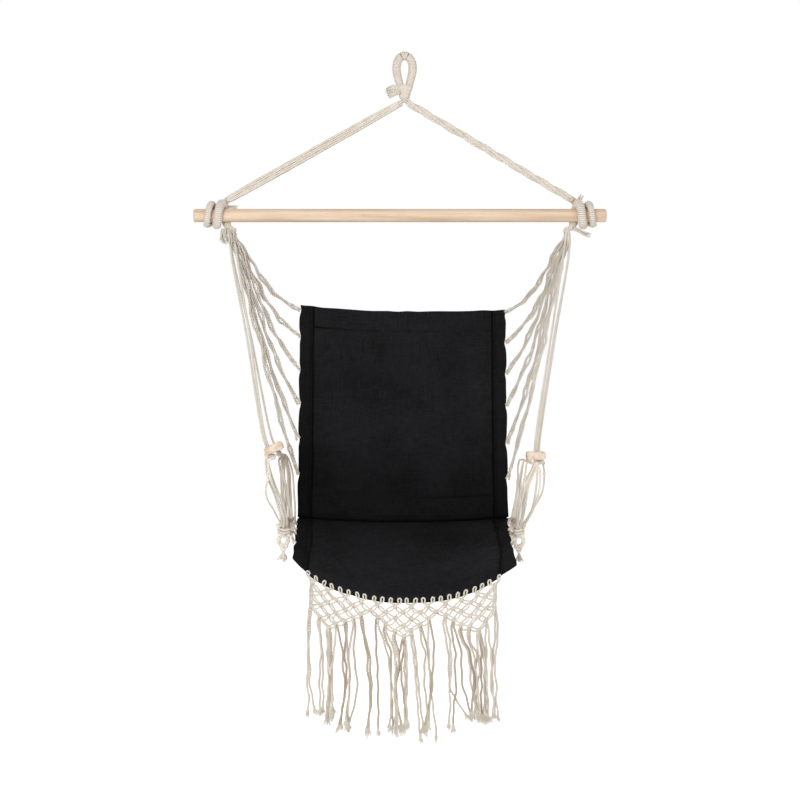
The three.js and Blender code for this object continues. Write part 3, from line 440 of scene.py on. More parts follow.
def ply_rings(points, diameter, lay=None, tone=1.0, brown=0.0):
    """The rings of corners and the creases of a cord's three twisted plies; the creases are painted shade.

    A tone below 1 deepens this painted shade towards brown, and above 1 lightens it. The last setting, from 0
    to 1, paints shade on the cord's left and right, which turn away from the front.
    """
    radius = radius_along(diameter, points)
    lay = lay or LAY_DIAMETERS * float(radius.mean()) * 2
    phase = RANDOM.uniform(0, 2 * math.pi)
    across, other = ways_across(points)
    ply = radius * PLY_SHARE
    for k in range(PLIES):
        angle = (phase + 2 * math.pi * (k / PLIES + lengths_along(points) / lay))[:, None]
        out = across * np.cos(angle) + other * np.sin(angle)
        centre = points + out * (radius - ply)[:, None]
        way = ways_along(centre)
        side = unit(np.cross(way, out))
        out = np.cross(side, way)
        # Painted shade: each ply is darkest on its side that faces the cord's middle, and so in the grooves
        # between plies.
        crease = tone * (1 + np.cos(2 * math.pi * np.arange(PLY_SIDES) / PLY_SIDES)) / 2
        rings = ring_of(centre, out, side, ply, PLY_SIDES)
        # Painted shade on the cord's left and right: only corners that face the front or the back keep their
        # full value.
        unshaded_side = np.clip(1.5 * np.abs(rings[..., 1] - points[:, None, 1]) / radius[:, None], 0, 1)
        yield rings, crease[None] * (1 - brown * (1 - unshaded_side))


def laid_cord(build, points, diameter, **settings):
    """A cord of twisted plies."""
    for rings, crease in ply_rings(points, diameter, **settings):
        build.grid(rings, crease)


def lobed_cord(build, points, diameter, plies, lay, sides=15, lit_axis=None):
    """A cord drawn as one tube with grooves between its plies, painted darker in them as shade. Away from the
    given axis it is painted darker still, as shade on its sides.
    """
    across, other = ways_across(points)
    turns = np.arange(sides)[None] / sides + lengths_along(points)[:, None] / lay
    phase = plies * turns + RANDOM.uniform(0, 1)
    bulge = np.abs(np.cos(math.pi * phase)) ** 0.8
    radius = radius_along(diameter, points)[:, None]
    rings = ring_of(points, across, other, radius * (0.82 + 0.18 * bulge), sides)
    # Painted shade in the grooves between the plies.
    crease = 0.1 + 0.9 * bulge
    # Painted shade on the sides that turn away from the axis.
    if lit_axis is not None:
        spokes = unit(rings - points[:, None])
        crease = crease * np.clip(1.5 * np.abs(spokes @ lit_axis), 0, 1)
    build.grid(rings, crease)


def wound_rope(build, points, diameter, winding, sides, lean=1.0, depth=0.17, notches=(), flat=None):
    """A rope covered with turns of a thinner cord, painted darker as shade in the grooves between the turns
    and in its notches.

    Notches are (place along it, width, depth). Flat is a direction whose length says how thick it stays.
    """
    across, other = ways_across(points)
    lengths = lengths_along(points)[:, None]
    turn = np.arange(sides)[None] / sides
    phase = lengths / winding + lean * turn
    bulge = np.abs(np.sin(math.pi * phase)) ** 0.7
    radius = radius_along(diameter, points)[:, None]
    radii = radius - winding * depth * 2 * (1 - bulge)
    # Painted shade in the grooves between the turns, and further down in the notches.
    crease = bulge**1.2
    for place, width, deep in notches:
        notch = close_to(lengths - place, width)
        radii = radii - deep * notch
        crease = crease * (1 - notch)
    rings = ring_of(points, across, other, radii, sides)
    if flat is not None:
        way = np.broadcast_to(np.asarray(flat, float), points.shape)
        size = np.linalg.norm(way, axis=-1, keepdims=True)
        thin = unit(way)[:, None]
        spokes = rings - points[:, None]
        rings = rings - thin * (spokes * thin).sum(-1, keepdims=True) * (1 - size)[:, None]
    build.grid(rings, crease)


def knot(build, middle, axis, size, cord, turn=0.0):
    """A small tied knot, long side on its axis."""
    t = np.linspace(0, 2 * math.pi, 37)[:-1]
    loop = (np.sin(t) + 2 * np.sin(2 * t), np.cos(t) - 2 * np.cos(2 * t), -1.25 * np.sin(3 * t))
    loop = np.stack(loop, 1) / 3
    axis = unit(np.asarray(axis, float))
    seed = np.array((0, 1.0, 0)) if abs(axis[1]) < 0.8 else np.array((1.0, 0, 0))
    side = unit(np.cross(axis, seed))
    front = np.cross(side, axis)
    cos, sin = math.cos(turn), math.sin(turn)
    side, front = side * cos + front * sin, front * cos - side * sin
    reach = (size - cord) / 2
    points = middle + reach * (loop[:, :1] * axis * 1.05 + loop[:, 1:2] * side + loop[:, 2:] * front * 1.1)
    points = np.vstack([points, points[:1]])
    tube(build, points, cord / 2, 7, 0.85)


def fray(build, tip, way, length, spread, count, thick):
    """Loose fibres at the end of a cord."""
    way = unit(np.asarray(way, float))
    for _ in range(count):
        lean = RANDOM.normal(0, spread, 3)
        reach = length * RANDOM.uniform(0.55, 1)
        root = tip + RANDOM.normal(0, 1, 3) * thick * 0.9 - way * length * 0.12
        t = np.linspace(0, 1, 5)[:, None]
        curl = RANDOM.normal(0, 0.14, 3) * reach
        points = root + way * reach * t + lean * reach * t**1.6 + curl * np.sin(math.pi * t) * t
        tube(build, points, thick * np.linspace(0.75, 0.25, 5), 4, 0.9)


def squared(u):
    """A curve across the sling, from 0 in the middle to 1 at the sides."""
    return np.abs(u) ** 2


def cupped(u):
    """The same, flatter in the middle."""
    return np.abs(u) ** CUP_POWER


def back_point(u, v):
    """The middle surface of the back: u across from -1 to 1, v down from 0 to 1."""
    u, v = np.broadcast_arrays(np.asarray(u, float), np.asarray(v, float))
    y = CREASE_BACK + BACK_LEAN * (1 - v) + BACK_BOW * 4 * v * (1 - v)
    crease = CREASE_GAP + CREASE_LIFT * cupped(u)
    top = BACK_HEIGHT + (CREASE_LIFT + BACK_CORNER_LIFT) * squared(u)
    return np.stack([SLING_MID + u * SLING_WIDTH / 2, y, -CREASE_DROP + v * crease + (1 - v) * top], -1)


def seat_point(u, v):
    """The middle surface of the seat: v from 0 at the crease to 1 at the front edge."""
    u, v = np.broadcast_arrays(np.asarray(u, float), np.asarray(v, float))
    width = SLING_WIDTH + (SEAT_FRONT_WIDTH - SLING_WIDTH) * v
    rounded = SEAT_ROUND_SHARE * squared(u) + SEAT_CORNER_SHARE * np.abs(u) ** SEAT_CORNER_POWER
    y = CREASE_BACK - SEAT_LENGTH * (1 - rounded) * v
    middle = -SEAT_DROP * v - SEAT_HOLLOW * 4 * v * (1 - v)
    sides = CREASE_LIFT - SEAT_SIDE_DROP * v
    return np.stack([SLING_MID + u * width / 2, y, -CREASE_DROP + middle + (sides - middle) * cupped(u)], -1)


def edge_lift(u):
    """How far the seat's front edge hangs above or below its even curve."""
    return np.interp(u, EDGE_PLACES, EDGE_LIFTS)


def on_bar(side, out, back, up):
    """A point outwards, back and up from the middle of the bar."""
    return BAR_MIDDLE + np.array((side * out, back, up))


def from_outer_turn(side, route):
    """Points taken outwards from the outer rope turn, back and up."""
    return np.array([on_bar(side, OUTER_TURN + out, back, up) for out, back, up in route])


def turn_radius(angle, raised):
    """Distance from the bar's axis to the rope's centre line: tight under the bar and loose over it."""
    loose = 0.5 + 0.5 * math.sin(angle)
    return BAR_RADIUS + WRAP_TIGHT + WRAP_LOOSE * loose + WRAP_OVER * raised


def wrap_points(side):
    """Centre line of the rope turns at one end of the bar."""
    turns = []
    for i in range(WRAP_POINTS):
        angle = WRAP_START - WRAP_STEP * i
        out = OUTER_TURN - WRAP_PITCH * (WRAP_FRONT - angle) / 360 - WRAP_INWARD
        turn = math.radians(angle)
        reach = turn_radius(turn, 1 if i in WRAP_RAISED else 0)
        turns.append(on_bar(side, out, reach * math.cos(turn), reach * math.sin(turn)))
    return np.vstack([from_outer_turn(side, WRAP_LEAD), turns, from_outer_turn(side, NECK)])


def neck_frame(side):
    """The end of the neck, and the directions along, inward and back."""
    before, end = from_outer_turn(side, SPLAY)
    aim = unit(end - before)
    inward = np.array((-side, 0.0, 0.0))
    inward = unit(inward - aim * (inward @ aim))
    back = np.array((0.0, 1.0, 0.0))
    back = unit(back - aim * (back @ aim))
    return end, aim, inward, back


def strand_start(side, slot):
    """Where a cord leaves the neck: in the bunch, and at its end."""
    end, _, inward, back = neck_frame(side)
    start = end + inward * slot[0] * STRAND_PITCH + back * slot[1] * STRAND_ROW
    root, last = from_outer_turn(side, NECK)
    bunch = last + unit(root - last) * mm(4) + mm(0, slot[1] * 3, -slot[0] * 3)
    return bunch, start


def side_route(side, index):
    """Route of a side cord from the neck to the edge of the back."""
    end = back_point(side, EDGE_SHARES[side][index]) - (side * mm(0.8), 0, 0)
    start, second = strand_start(side, BACK_SLOTS[index])
    across = unit(np.cross(end - second, (0, 1, 0)))
    sway = SIDE_WAVE if index % 2 else -SIDE_WAVE
    shares = (np.arange(len(WAVE_SHARES)) + 1) / (len(WAVE_SHARES) + 1)
    sags = side * SIDE_SAGS[index] * np.sin(math.pi * shares**1.6)
    middle = [
        second + (end - second) * share + across * (wave * sway + sag)
        for share, wave, sag in zip(shares, WAVE_SHARES, sags)
    ]
    return np.array([start, second, *middle, end])


def slat_frame(side):
    """Middle of an arm slat and its length, width and thickness directions."""
    slat = SLATS[side]
    height = slat["rise"] - CREASE_DROP
    neck = neck_frame(side)[0]
    edge = back_point(side, EDGE_SHARES[side][-1])
    fall = (height - neck[2]) / (edge[2] - neck[2])
    out = side * (neck[0] + (edge[0] - neck[0]) * fall - BAR_MIDDLE[0]) + slat["gap"] + SLAT_WIDTH / 2
    splay, dip, roll = (math.radians(slat[name]) for name in ("splay", "dip", "roll"))
    along = unit(np.array((side * math.sin(splay), math.cos(splay), -math.sin(dip))))
    outward = np.array((side * math.cos(roll), 0, -math.sin(roll)))
    outward = unit(outward - along * (outward @ along))
    up = np.cross(outward, along) * side
    return np.array((BAR_MIDDLE[0] + side * out, 0, height)), along, outward, up


def hole_middle(side, end):
    """Middle of the slat's hole at one end."""
    middle, along, outward, _ = slat_frame(side)
    reach = SLAT_LENGTH / 2 - HOLE_INSET
    return middle + along * (reach if end == "rear" else -reach) + outward * SLATS[side][end]


def arm_knot_middle(side, end):
    """Middle of the knot that sits in a hole from below."""
    up = slat_frame(side)[3]
    seat = ARM_KNOT_LENGTH / 2 * math.sqrt(1 - (SLAT_HOLE / ARM_KNOT) ** 2)
    return hole_middle(side, end) - up * (SLAT_THICKNESS / 2 + mm(0.4) + seat)


def gather_middle(side):
    """Middle of the gather beside the seat's edge."""
    edge = seat_point(side, GATHER_SHARE)
    out, up = GATHER_OUT[side]
    return np.array((SLING_MID + side * (SLING_WIDTH / 2 + out), edge[1], edge[2] + up))


# Materials

# Ramps of colour: the place of each stop, and its colour
# Cotton from deep brown painted shade at a crease value of 0 to its lit colour
COTTON_SHADE_RAMP = ((0.0, (0.22, 0.14, 0.085)), (0.32, (0.55, 0.46, 0.365)), (0.8, (0.80, 0.75, 0.675)))
COTTON_PATCHES = ((0.3, (0.92, 0.9, 0.86)), (0.6, (1.0, 1.0, 1.0)))
CANVAS_TONES = ((0.38, (0.0076, 0.0077, 0.0083)), (0.62, (0.0192, 0.0194, 0.0213)))
# Canvas painted shade, from its crease values
CANVAS_SHADES = ((0.1, (0.1, 0.1, 0.1)), (1.0, (1.0, 1.0, 1.0)))
BEECH_TONES = ((0.34, (0.66, 0.485, 0.345)), (0.5, (0.75, 0.59, 0.45)), (0.66, (0.81, 0.665, 0.52)))
BEECH_FLECKS = ((0.26, (0.86, 0.78, 0.7)), (0.34, (1.0, 1.0, 1.0)))
THREADS = 260.0


def shader(name):
    """A new material, its nodes and its shader."""
    material = bpy.data.materials.new(name)
    material.use_nodes = True
    tree = material.node_tree
    return material, tree, tree.nodes["Principled BSDF"]


def node(tree, kind, inputs=(), **settings):
    """A new node, with each input set to a value or joined to another node's output."""
    made = tree.nodes.new(kind)
    for key, value in settings.items():
        setattr(made, key, value)
    for key, value in dict(inputs).items():
        if isinstance(value, bpy.types.NodeSocket):
            tree.links.new(value, made.inputs[key])
        else:
            made.inputs[key].default_value = value
    return made


def places(tree, scale):
    """Object coordinates stretched by a scale."""
    where = node(tree, "ShaderNodeTexCoord").outputs["Object"]
    return node(tree, "ShaderNodeMapping", {"Vector": where, "Scale": scale}).outputs["Vector"]


def noise(tree, scale, detail):
    """Soft noise from 0 to 1, finer where the scale is larger."""
    inputs = {"Vector": places(tree, scale), "Scale": 1.0, "Detail": detail}
    return node(tree, "ShaderNodeTexNoise", inputs).outputs["Fac"]


def threads(tree, direction):
    """Even threads side by side, from 0 to 1."""
    inputs = {"Vector": places(tree, (1, 1, 1)), "Scale": THREADS}
    return node(tree, "ShaderNodeTexWave", inputs, bands_direction=direction).outputs["Fac"]


def painted_shade_of(tree):
    """The mesh's crease value, which sets its painted shade."""
    return node(tree, "ShaderNodeAttribute", attribute_name="crease").outputs["Fac"]


def maths(tree, operation, first, second):
    return node(tree, "ShaderNodeMath", {0: first, 1: second}, operation=operation).outputs[0]


def multiplied(tree, first, second):
    """One colour times another."""
    inputs = {"Factor": 1.0, 6: first, 7: second}
    return node(tree, "ShaderNodeMix", inputs, data_type="RGBA", blend_type="MULTIPLY").outputs[2]


def ramp(tree, value, stops):
    """A colour that follows a value."""
    made = node(tree, "ShaderNodeValToRGB", {"Fac": value})
    bar = made.color_ramp
    while len(bar.elements) < len(stops):
        bar.elements.new(0.5)
    for element, (place, colour) in zip(bar.elements, stops):
        element.position = place
        element.color = (*colour, 1)
    return made.outputs["Color"]


def surface(tree, principled, colour, height, strength, distance, roughness, specular):
    """Sets a shader's colour, the height, strength and depth of its bumps, its roughness and its gloss."""
    bump = node(tree, "ShaderNodeBump", {"Height": height, "Strength": strength, "Distance": distance})
    tree.links.new(colour, principled.inputs["Base Color"])
    tree.links.new(bump.outputs["Normal"], principled.inputs["Normal"])
    principled.inputs["Roughness"].default_value = roughness
    principled.inputs["Specular IOR Level"].default_value = specular


def cotton(name, paleness):
    """Undyed cotton with fine fibres, painted with warm brown shade in the creases between plies and wherever
    its crease values are low.
    """
    material, tree, principled = shader(name)
    # The ramp runs from painted shade to the lit colour; paleness lightens all of it.
    tones = [(place, tuple(paleness * c for c in colour)) for place, colour in COTTON_SHADE_RAMP]
    patches = ramp(tree, noise(tree, (60, 60, 60), 3.0), COTTON_PATCHES)
    colour = multiplied(tree, ramp(tree, painted_shade_of(tree), tones), patches)
    fibres = noise(tree, (900, 900, 500), 2.0)
    surface(tree, principled, colour, fibres, 0.5, 0.0006, roughness=0.92, specular=0.2)
    principled.inputs["Sheen Weight"].default_value = 0.08
    principled.inputs["Sheen Roughness"].default_value = 0.6
    return material


def canvas():
    """Black cotton canvas in plain weave, with thicker threads here and there and worn patches."""
    material, tree, principled = shader("black_canvas")
    weave = maths(tree, "MULTIPLY", threads(tree, "X"), threads(tree, "Z"))
    slubs = maths(tree, "ADD", noise(tree, (45, 45, 420), 3.0), noise(tree, (420, 45, 45), 3.0))
    worn = maths(tree, "ADD", slubs, noise(tree, (7, 7, 7), 3.0))
    tone = ramp(tree, maths(tree, "DIVIDE", worn, 3.0), CANVAS_TONES)
    # Painted shade from the crease values: in the seams, at the fold and over each panel, and darker hems.
    colour = multiplied(tree, tone, ramp(tree, painted_shade_of(tree), CANVAS_SHADES))
    surface(tree, principled, colour, weave, 0.35, 0.0004, roughness=0.85, specular=0.03)
    return material


def beech(name, grain, paleness, tint):
    """Pale sanded beech with its grain along one axis and short dark flecks."""
    material, tree, principled = shader(name)
    rings = noise(tree, grain, 5.0)
    tones = [(place, tuple(t * c**paleness for t, c in zip(tint, colour))) for place, colour in BEECH_TONES]
    flecks = ramp(tree, noise(tree, tuple(9 * g for g in grain), 1.0), BEECH_FLECKS)
    colour = multiplied(tree, ramp(tree, rings, tones), flecks)
    surface(tree, principled, colour, rings, 0.15, 0.0004, roughness=0.58, specular=0.35)
    return material


COTTON = cotton("cotton_cord", 1.0)
# A copy of the cotton painted lighter, to lift the shade that falls on the lower cords, the gathers and the
# tassels.
COTTON_PAINTED_LIGHTER = cotton("cotton_painted_lighter", 1.15)
CANVAS = canvas()
BAR_WOOD = beech("beech_bar", (4, 90, 90), 1.14, (1.0, 1.0, 1.0))
SLAT_WOOD = beech("beech_slat", (90, 4, 90), 1.22, (0.96, 1.03, 1.1))


# Rope eye and bridle


def rope_eye():
    """The wrapped eye, its throat and its frayed end."""
    points = spline(np.insert(EYE_ROUTE, 1, 0, axis=1), EYE_WINDING / 6)
    share = np.linspace(0, 1, len(points))
    spread = np.minimum(1, 4 * np.minimum(share, 1 - share))
    whole = lengths_along(points)[-1]
    build = Build()
    notches = [(whole / 2 + place, EYE_NOTCH_WIDTH, EYE_NOTCH_DEPTH) for place in EYE_NOTCHES]
    thickness = EYE_FOOT_ROPE + (EYE_ROPE - EYE_FOOT_ROPE) * spread
    wound_rope(build, points, thickness, EYE_WINDING, 20, depth=0.14, notches=notches)
    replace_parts(build.piece("eye_rope", COTTON, "hang_eye"), "hanging_eye")

    low, high = box_of("throat_whipping")
    build = Build()
    heights = high[2] + mm(2), high[2] - mm(12), low[2] - mm(5)
    middle = spline([(0, 0, height) for height in heights], WINDING_STEP)
    share = np.linspace(0, 1, len(middle))
    width, flat = THROAT_WIDTH - THROAT_TAPER * share, (0, THROAT_DEPTH, 0)
    wound_rope(build, middle, width, THROAT_WINDING, 60, lean=THROAT_LEAN, depth=0.2, flat=flat)
    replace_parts(build.piece("throat_winding", COTTON, "hang_eye"), "throat_whipping")

    build = Build()
    for k in range(TAIL_CORDS):
        drop = k / (TAIL_CORDS - 1)
        root = TAIL_ROOT + TAIL_ROOT_SHIFT * drop
        stray = RANDOM.normal(0, 1, 3) * MM
        tip = TAIL_TIP + mm(-3 + 9 * drop, -3 - 4 * (k % 2), -22) * drop + stray
        points = spline([root, (root + tip) / 2 + mm(0, -3, 4 - 5 * drop), tip])
        laid_cord(build, points, TAIL_CORD)
        fray(build, tip, tip - points[-4], *EYE_FRAY)
    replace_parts(build.piece("eye_frayed_end", COTTON, "hang_eye"), "eye_tail")


def bridle():
    """The knuckle, the straight cords of the left leg and the twisted rope of the right one."""
    low, high = box_of("bridle_apex")
    apex, radius = (low + high) / 2, (high - low)[2] / 2
    build = Build()
    saddle = spline(apex + SADDLE)
    for k in range(KNUCKLE_CORDS):
        turn = 2 * math.pi * k / KNUCKLE_CORDS
        thin = KNUCKLE_REACH * (1 - 0.1 * np.sin(np.linspace(0, math.pi, len(saddle))))[:, None]
        shift = np.array((0.3 * math.sin(turn), math.cos(turn), math.sin(turn)))
        laid_cord(build, saddle + thin * shift, KNUCKLE_CORD, lay=mm(60))
    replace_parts(build.piece("bridle_knuckle", COTTON, "apex"), "bridle_apex")

    for side in (-1, 1):
        start = from_outer_turn(side, WRAP_LEAD[:1])[0]
        aim = from_outer_turn(side, WRAP_LEAD[1:2])[0] - start
        along = unit(start - apex)
        top = apex + along * (radius - mm(2))
        foot = start + unit(aim) * mm(2)
        if side < 0:
            left_leg(top, foot, along)
        else:
            right_leg(top, foot)


def left_leg(top, foot, along):
    """Pairs of untwisted cords that run side by side."""
    flat = unit(np.cross(along, (0, 1, 0)))
    for i in range(LEG_PAIRS):
        build = Build()
        for row in (-1, 1):
            shift = flat * (i - (LEG_PAIRS - 1) / 2) * BRIDLE_CORD
            deep = np.array((0, row * BRIDLE_CORD * PAIR_SHARE, 0))
            ends = [0.6, 0.85, 0.95, 1, 1, 0.95, 0.75]
            line = [
                top + (foot - top) * t + (shift + deep) * e + flat * mm(RANDOM.normal(0, 0.3))
                for t, e in zip(np.linspace(0, 1, 7), ends)
            ]
            # The cords are painted in shade on the sides that turn away from the front and back.
            thick, lit_axis = BRIDLE_CORD * 1.04, np.array((0.0, 1.0, 0.0))
            lobed_cord(build, spline(line), thick, LEG_PLIES, LEG_LAY, 16, lit_axis)
        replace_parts(build.piece(f"bridle_left_{i + 1}", COTTON, "bridle"), f"bridle_left_cord_{i + 1}")


def right_leg(top, foot):
    """Three strands of loose yarns, laid round each other."""
    line = spline([top, (top + foot) / 2, foot], mm(2.4))
    across, other = ways_across(line)
    lengths = lengths_along(line)[:, None]
    ends = np.minimum(1, np.minimum(lengths, lengths[-1] - lengths) / TWIST_ENDS) ** 0.5
    build = Build()
    for k in range(TWIST_STRANDS):
        wander = 0.25 * np.sin(lengths / YARN_WANDER + k)
        turn = 2 * math.pi * (k / TWIST_STRANDS + lengths / TWIST_LAY) + wander
        reach = TWIST_REACH * (0.72 + 0.28 * ends)
        strand = line + (across * np.cos(turn) + other * np.sin(turn)) * reach
        for yarn in range(YARNS):
            twist = 2 * math.pi * (yarn / YARNS - lengths / YARN_LAY) + turn
            cord = strand + (across * np.cos(twist) + other * np.sin(twist)) * YARN_REACH
            lobed_cord(build, cord, YARN, YARN_PLIES, YARN_PLY_LAY, 12)
    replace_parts(build.piece("bridle_right_twist", COTTON, "bridle"), "bridle_right_rope")


def loose_end(build, route, strands, diameter, spread, tuft):
    """A short rope end that opens into its strands and frays."""
    points = spline(route)
    across, other = ways_across(points)
    share = np.linspace(0, 1, len(points))[:, None]
    for k in range(strands):
        turn = 2 * math.pi * k / strands + 0.6
        out = across * math.cos(turn) + other * math.sin(turn)
        line = points + out * (diameter * 0.55 + spread * share**1.5)
        laid_cord(build, line, diameter)
        fray(build, line[-1], line[-1] - line[-4], tuft, 0.22, 12, mm(0.6))


def bar_turns(side, name):
    """Rope turns round one end of the bar, pressed flat against it and narrow at the neck."""
    build = Build()
    points = spline(wrap_points(side), WRAP_WINDING / 6)
    off_axis = points - BAR_MIDDLE
    off_axis[:, 0] = 0
    reach = np.linalg.norm(off_axis, axis=1)
    thick = np.clip((reach - BAR_RADIUS) / (WRAP_ROPE / 2), 0.7, 1)
    flat = unit(off_axis) * thick[:, None]
    share = lengths_along(points) / lengths_along(points)[-1]
    swollen = WRAP_SWELL * ramped(share, 0.4, 0.15)
    width = WRAP_ROPE * (WRAP_FIRST + swollen - WRAP_NECKING * ramped(share, 0.92, 0.07))
    wound_rope(build, points, width, WRAP_WINDING, 20, depth=0.19, flat=flat)
    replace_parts(build.piece(f"bar_turns_{name}", COTTON, "bridle"), f"bar_wrap_{name}")


def loose_ends():
    """Cut ends of the rope beside the bar turns."""
    build = Build()
    for root, tip in NECK_ENDS:
        stray = RANDOM.normal(0, NECK_END_STRAY, 3)
        middle = [(a + b) / 2 + shift for a, b, shift in zip(root, tip, stray)]
        loose_end(build, from_outer_turn(-1, mm(root, middle, tip)), NECK_END_STRANDS, *NECK_END_SIZES)
    made = build.piece("left_neck_ends", COTTON)
    root = from_outer_turn(-1, NECK)[0]
    tuple(root - mm(0, 0, 2))
    tuple(root - mm(0, 0, 16))
    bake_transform(made)
    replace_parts(made, "wrap_tail_left")
    for name, cad, side, route, strands, sizes in LOOSE_ENDS:
        build = Build()
        loose_end(build, from_outer_turn(side, mm(*route)), strands, *mm(*sizes))
        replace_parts(build.piece(name, COTTON, "bridle"), f"wrap_tail_{cad}")


def bar():
    """The spreader bar with its rounded ends."""
    turn = np.radians(np.linspace(0, 90, 6))
    end_out = BAR_HALF - BAR_EDGE + BAR_EDGE * np.cos(turn)
    end_radius = BAR_RADIUS - BAR_EDGE + BAR_EDGE * np.sin(turn)
    end_xs = np.concatenate([np.full(4, BAR_HALF), end_out[1:]])
    end_radii = np.concatenate([np.linspace(0, BAR_RADIUS - BAR_EDGE, 5)[1:], end_radius[1:]])
    stretch = np.linspace(-BAR_HALF + BAR_EDGE, BAR_HALF - BAR_EDGE, 40)[1:-1]
    xs = np.concatenate([-end_xs, stretch, end_xs[::-1]])[:, None]
    radii = np.concatenate([end_radii, np.full(len(stretch), BAR_RADIUS), end_radii[::-1]])[:, None]
    angle = 2 * math.pi * np.arange(BAR_SIDES) / BAR_SIDES
    rings = np.empty((len(xs), BAR_SIDES, 3))
    rings[..., 0] = BAR_MIDDLE[0] + xs
    rings[..., 1] = BAR_MIDDLE[1] + radii * np.cos(angle)
    rings[..., 2] = BAR_MIDDLE[2] + radii * np.sin(angle)
    build = Build()
    build.grid(rings, 1.0)
    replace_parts(build.piece("round_bar", BAR_WOOD, "bar", "beech"), "spreader_bar")


# Side and arm cords


def cord_pair(build, route, diameter, knots):
    """Two cords side by side that part and meet again, tied at the knots."""
    points = spline(route)
    along = ways_along(points)
    across, other = ways_across(points)
    lengths = lengths_along(points)[:, None]
    share = lengths / lengths[-1]
    turn = RANDOM.uniform(0, math.pi) + 2 * math.pi * lengths / mm(RANDOM.uniform(*PAIR_LAYS))
    waves = np.sin(2 * math.pi * lengths / mm(RANDOM.uniform(*PAIR_PARTINGS)) + turn)
    parting = np.clip(waves, 0, 1) ** 4
    apart = diameter * PAIR_SHARE + PAIR_PARTING * parting * ramped(share, 0, 0.15)
    for place in knots:
        apart = apart * (1 - 0.5 * close_to(share - place, 0.02))
    out = across * np.cos(turn) + other * np.sin(turn)
    for hand in (-1, 1):
        wobble = PAIR_WAVE * np.sin(2 * math.pi * lengths / mm(RANDOM.uniform(*PAIR_WAVES)) + hand)
        laid_cord(build, points + out * (hand * apart + wobble), diameter, tone=1.3, brown=1.0)
    for place in knots:
        i = min(len(points) - 2, int(place * (len(points) - 1)))
        size = KNOT_SIZE * (1.3 if place > 0.9 else 1)
        knot(build, points[i], along[i], size, diameter * 0.82, RANDOM.uniform(0, math.pi))
        if RANDOM.uniform() < 0.4:
            fray(build, points[i] + across[i] * mm(4), across[i] + along[i] * 0.3, *KNOT_FRAY)


def side_cords(side, name):
    """The cords from a neck to the side of the back, each with a knot near its end."""
    for index in range(len(BACK_SLOTS)):
        build = Build()
        cord_pair(build, side_route(side, index), SIDE_CORD, (*KNOT_SHARES[side][index], END_KNOT_SHARE))
        made = build.piece(f"side_cord_{name}_{index + 1}", COTTON, "sling")
        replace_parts(made, f"back_cord_{name}_{index + 1}")


def arm_cord_route(side, end, slot, shift):
    """Route of a cord from the neck through a hole of the slat."""
    outward, up = slat_frame(side)[2:]
    hole = hole_middle(side, end) + outward * shift
    start, second = strand_start(side, slot)
    into = hole + up * (SLAT_THICKNESS / 2 + mm(14))
    foot = hole - up * (SLAT_THICKNESS / 2 - mm(2))
    return np.array([start, second, (second + into) / 2, into, hole, foot])


def arm_cords(side, name):
    """The cords from a neck to its slat, and the knots under the slat."""
    for number, (end, slot, shift) in enumerate(ARM_SLOTS, 1):
        build = Build()
        points = spline(arm_cord_route(side, end, slot, shift))
        laid_cord(build, points, ARM_CORD, tone=1.15)
        cad = f"arm_front_cord_{name}_{number}" if end == "front" else f"arm_rear_cord_{name}"
        made = build.piece(f"arm_{end}_{name}_{number}", COTTON)
        over_slat = hole_middle(side, end)[2] + SLAT_THICKNESS
        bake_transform(made)
        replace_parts(made, cad)
        lengths_along(points)[-1]
    up = slat_frame(side)[3]
    for end in ("front", "rear"):
        build = Build()
        middle = arm_knot_middle(side, end)
        knot(build, middle, up, ARM_KNOT, mm(7), 0.4)
        if end == "front":
            knot(build, middle + mm(side * 13, 0, 4), (1, 0, 0.6), mm(15), mm(5.4), 0.9)
        knot(build, middle - up * mm(2), (1, 0.2, 0), ARM_KNOT - mm(3), mm(5), 1.1)
        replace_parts(build.piece(f"slat_knot_{end}_{name}", COTTON, f"arm_{name}"), f"arm_knot_{end}_{name}")


def lower_cords(side, name):
    """Bundles of cords from the knots under a slat to the gather."""
    collar = gather_middle(side)
    for number, (end, count, inward, row, aim, route) in enumerate(LOWER_CORDS[side], 1):
        down = unit(np.array((*aim, -1.0)))
        start = arm_knot_middle(side, end) + down * (ARM_KNOT_LENGTH / 2 - mm(3))
        foot = collar + (-side * mm(inward), row * GATHER_PITCH, GATHER_HEIGHT / 2)
        through = collar + mm(*route) * (side, 1, 1)
        line = np.array([start, start + down * CORD_LEAD, *through, foot + (0, 0, CORD_LEAD), foot])
        ease = np.sin(np.linspace(0, math.pi, len(line)))[:, None] ** 0.7
        top, low = Build(), Build()
        for strand in range(count):
            spread = np.array(((strand - (count - 1) / 2) * LOWER_SPREAD, LOWER_DEEP * (-1) ** strand, 0))
            bent = line + ease * spread + ease * RANDOM.normal(0, LOWER_STRAY, (len(line), 3)) * MM
            bent[[0, -1]] += spread * 0.5
            points = spline(bent)
            part = int(np.argmax(points[:, 2] < LOWER_PART))
            # The painted shade of each cord is made lighter by a random amount, a few a little deeper.
            tone = RANDOM.uniform(0.95, 2.1)
            for rings, crease in ply_rings(points, LOWER_CORD, lay=LOWER_LAY, tone=tone, brown=0.75):
                top.grid(rings[: part + 1], crease[: part + 1])
                low.grid(rings[part:], crease[part:])
            if count == 1:
                knot(top, points[part // 2], points[part // 2 + 1] - points[part // 2], mm(11), mm(5))
        for piece_build, place, bodies, start_height, end_height in (
            (top, "top", (f"arm_{name}", "sling"), start[2] - mm(6), LOWER_PART),
            (low, "foot", ("sling", "seat"), LOWER_PART, collar[2] + GATHER_HEIGHT),
        ):
            made = piece_build.piece(f"lower_{name}_{number}_{place}", COTTON_PAINTED_LIGHTER)
            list(bodies)
            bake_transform(made)
            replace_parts(made, f"lower_cord_{name}_{number}")


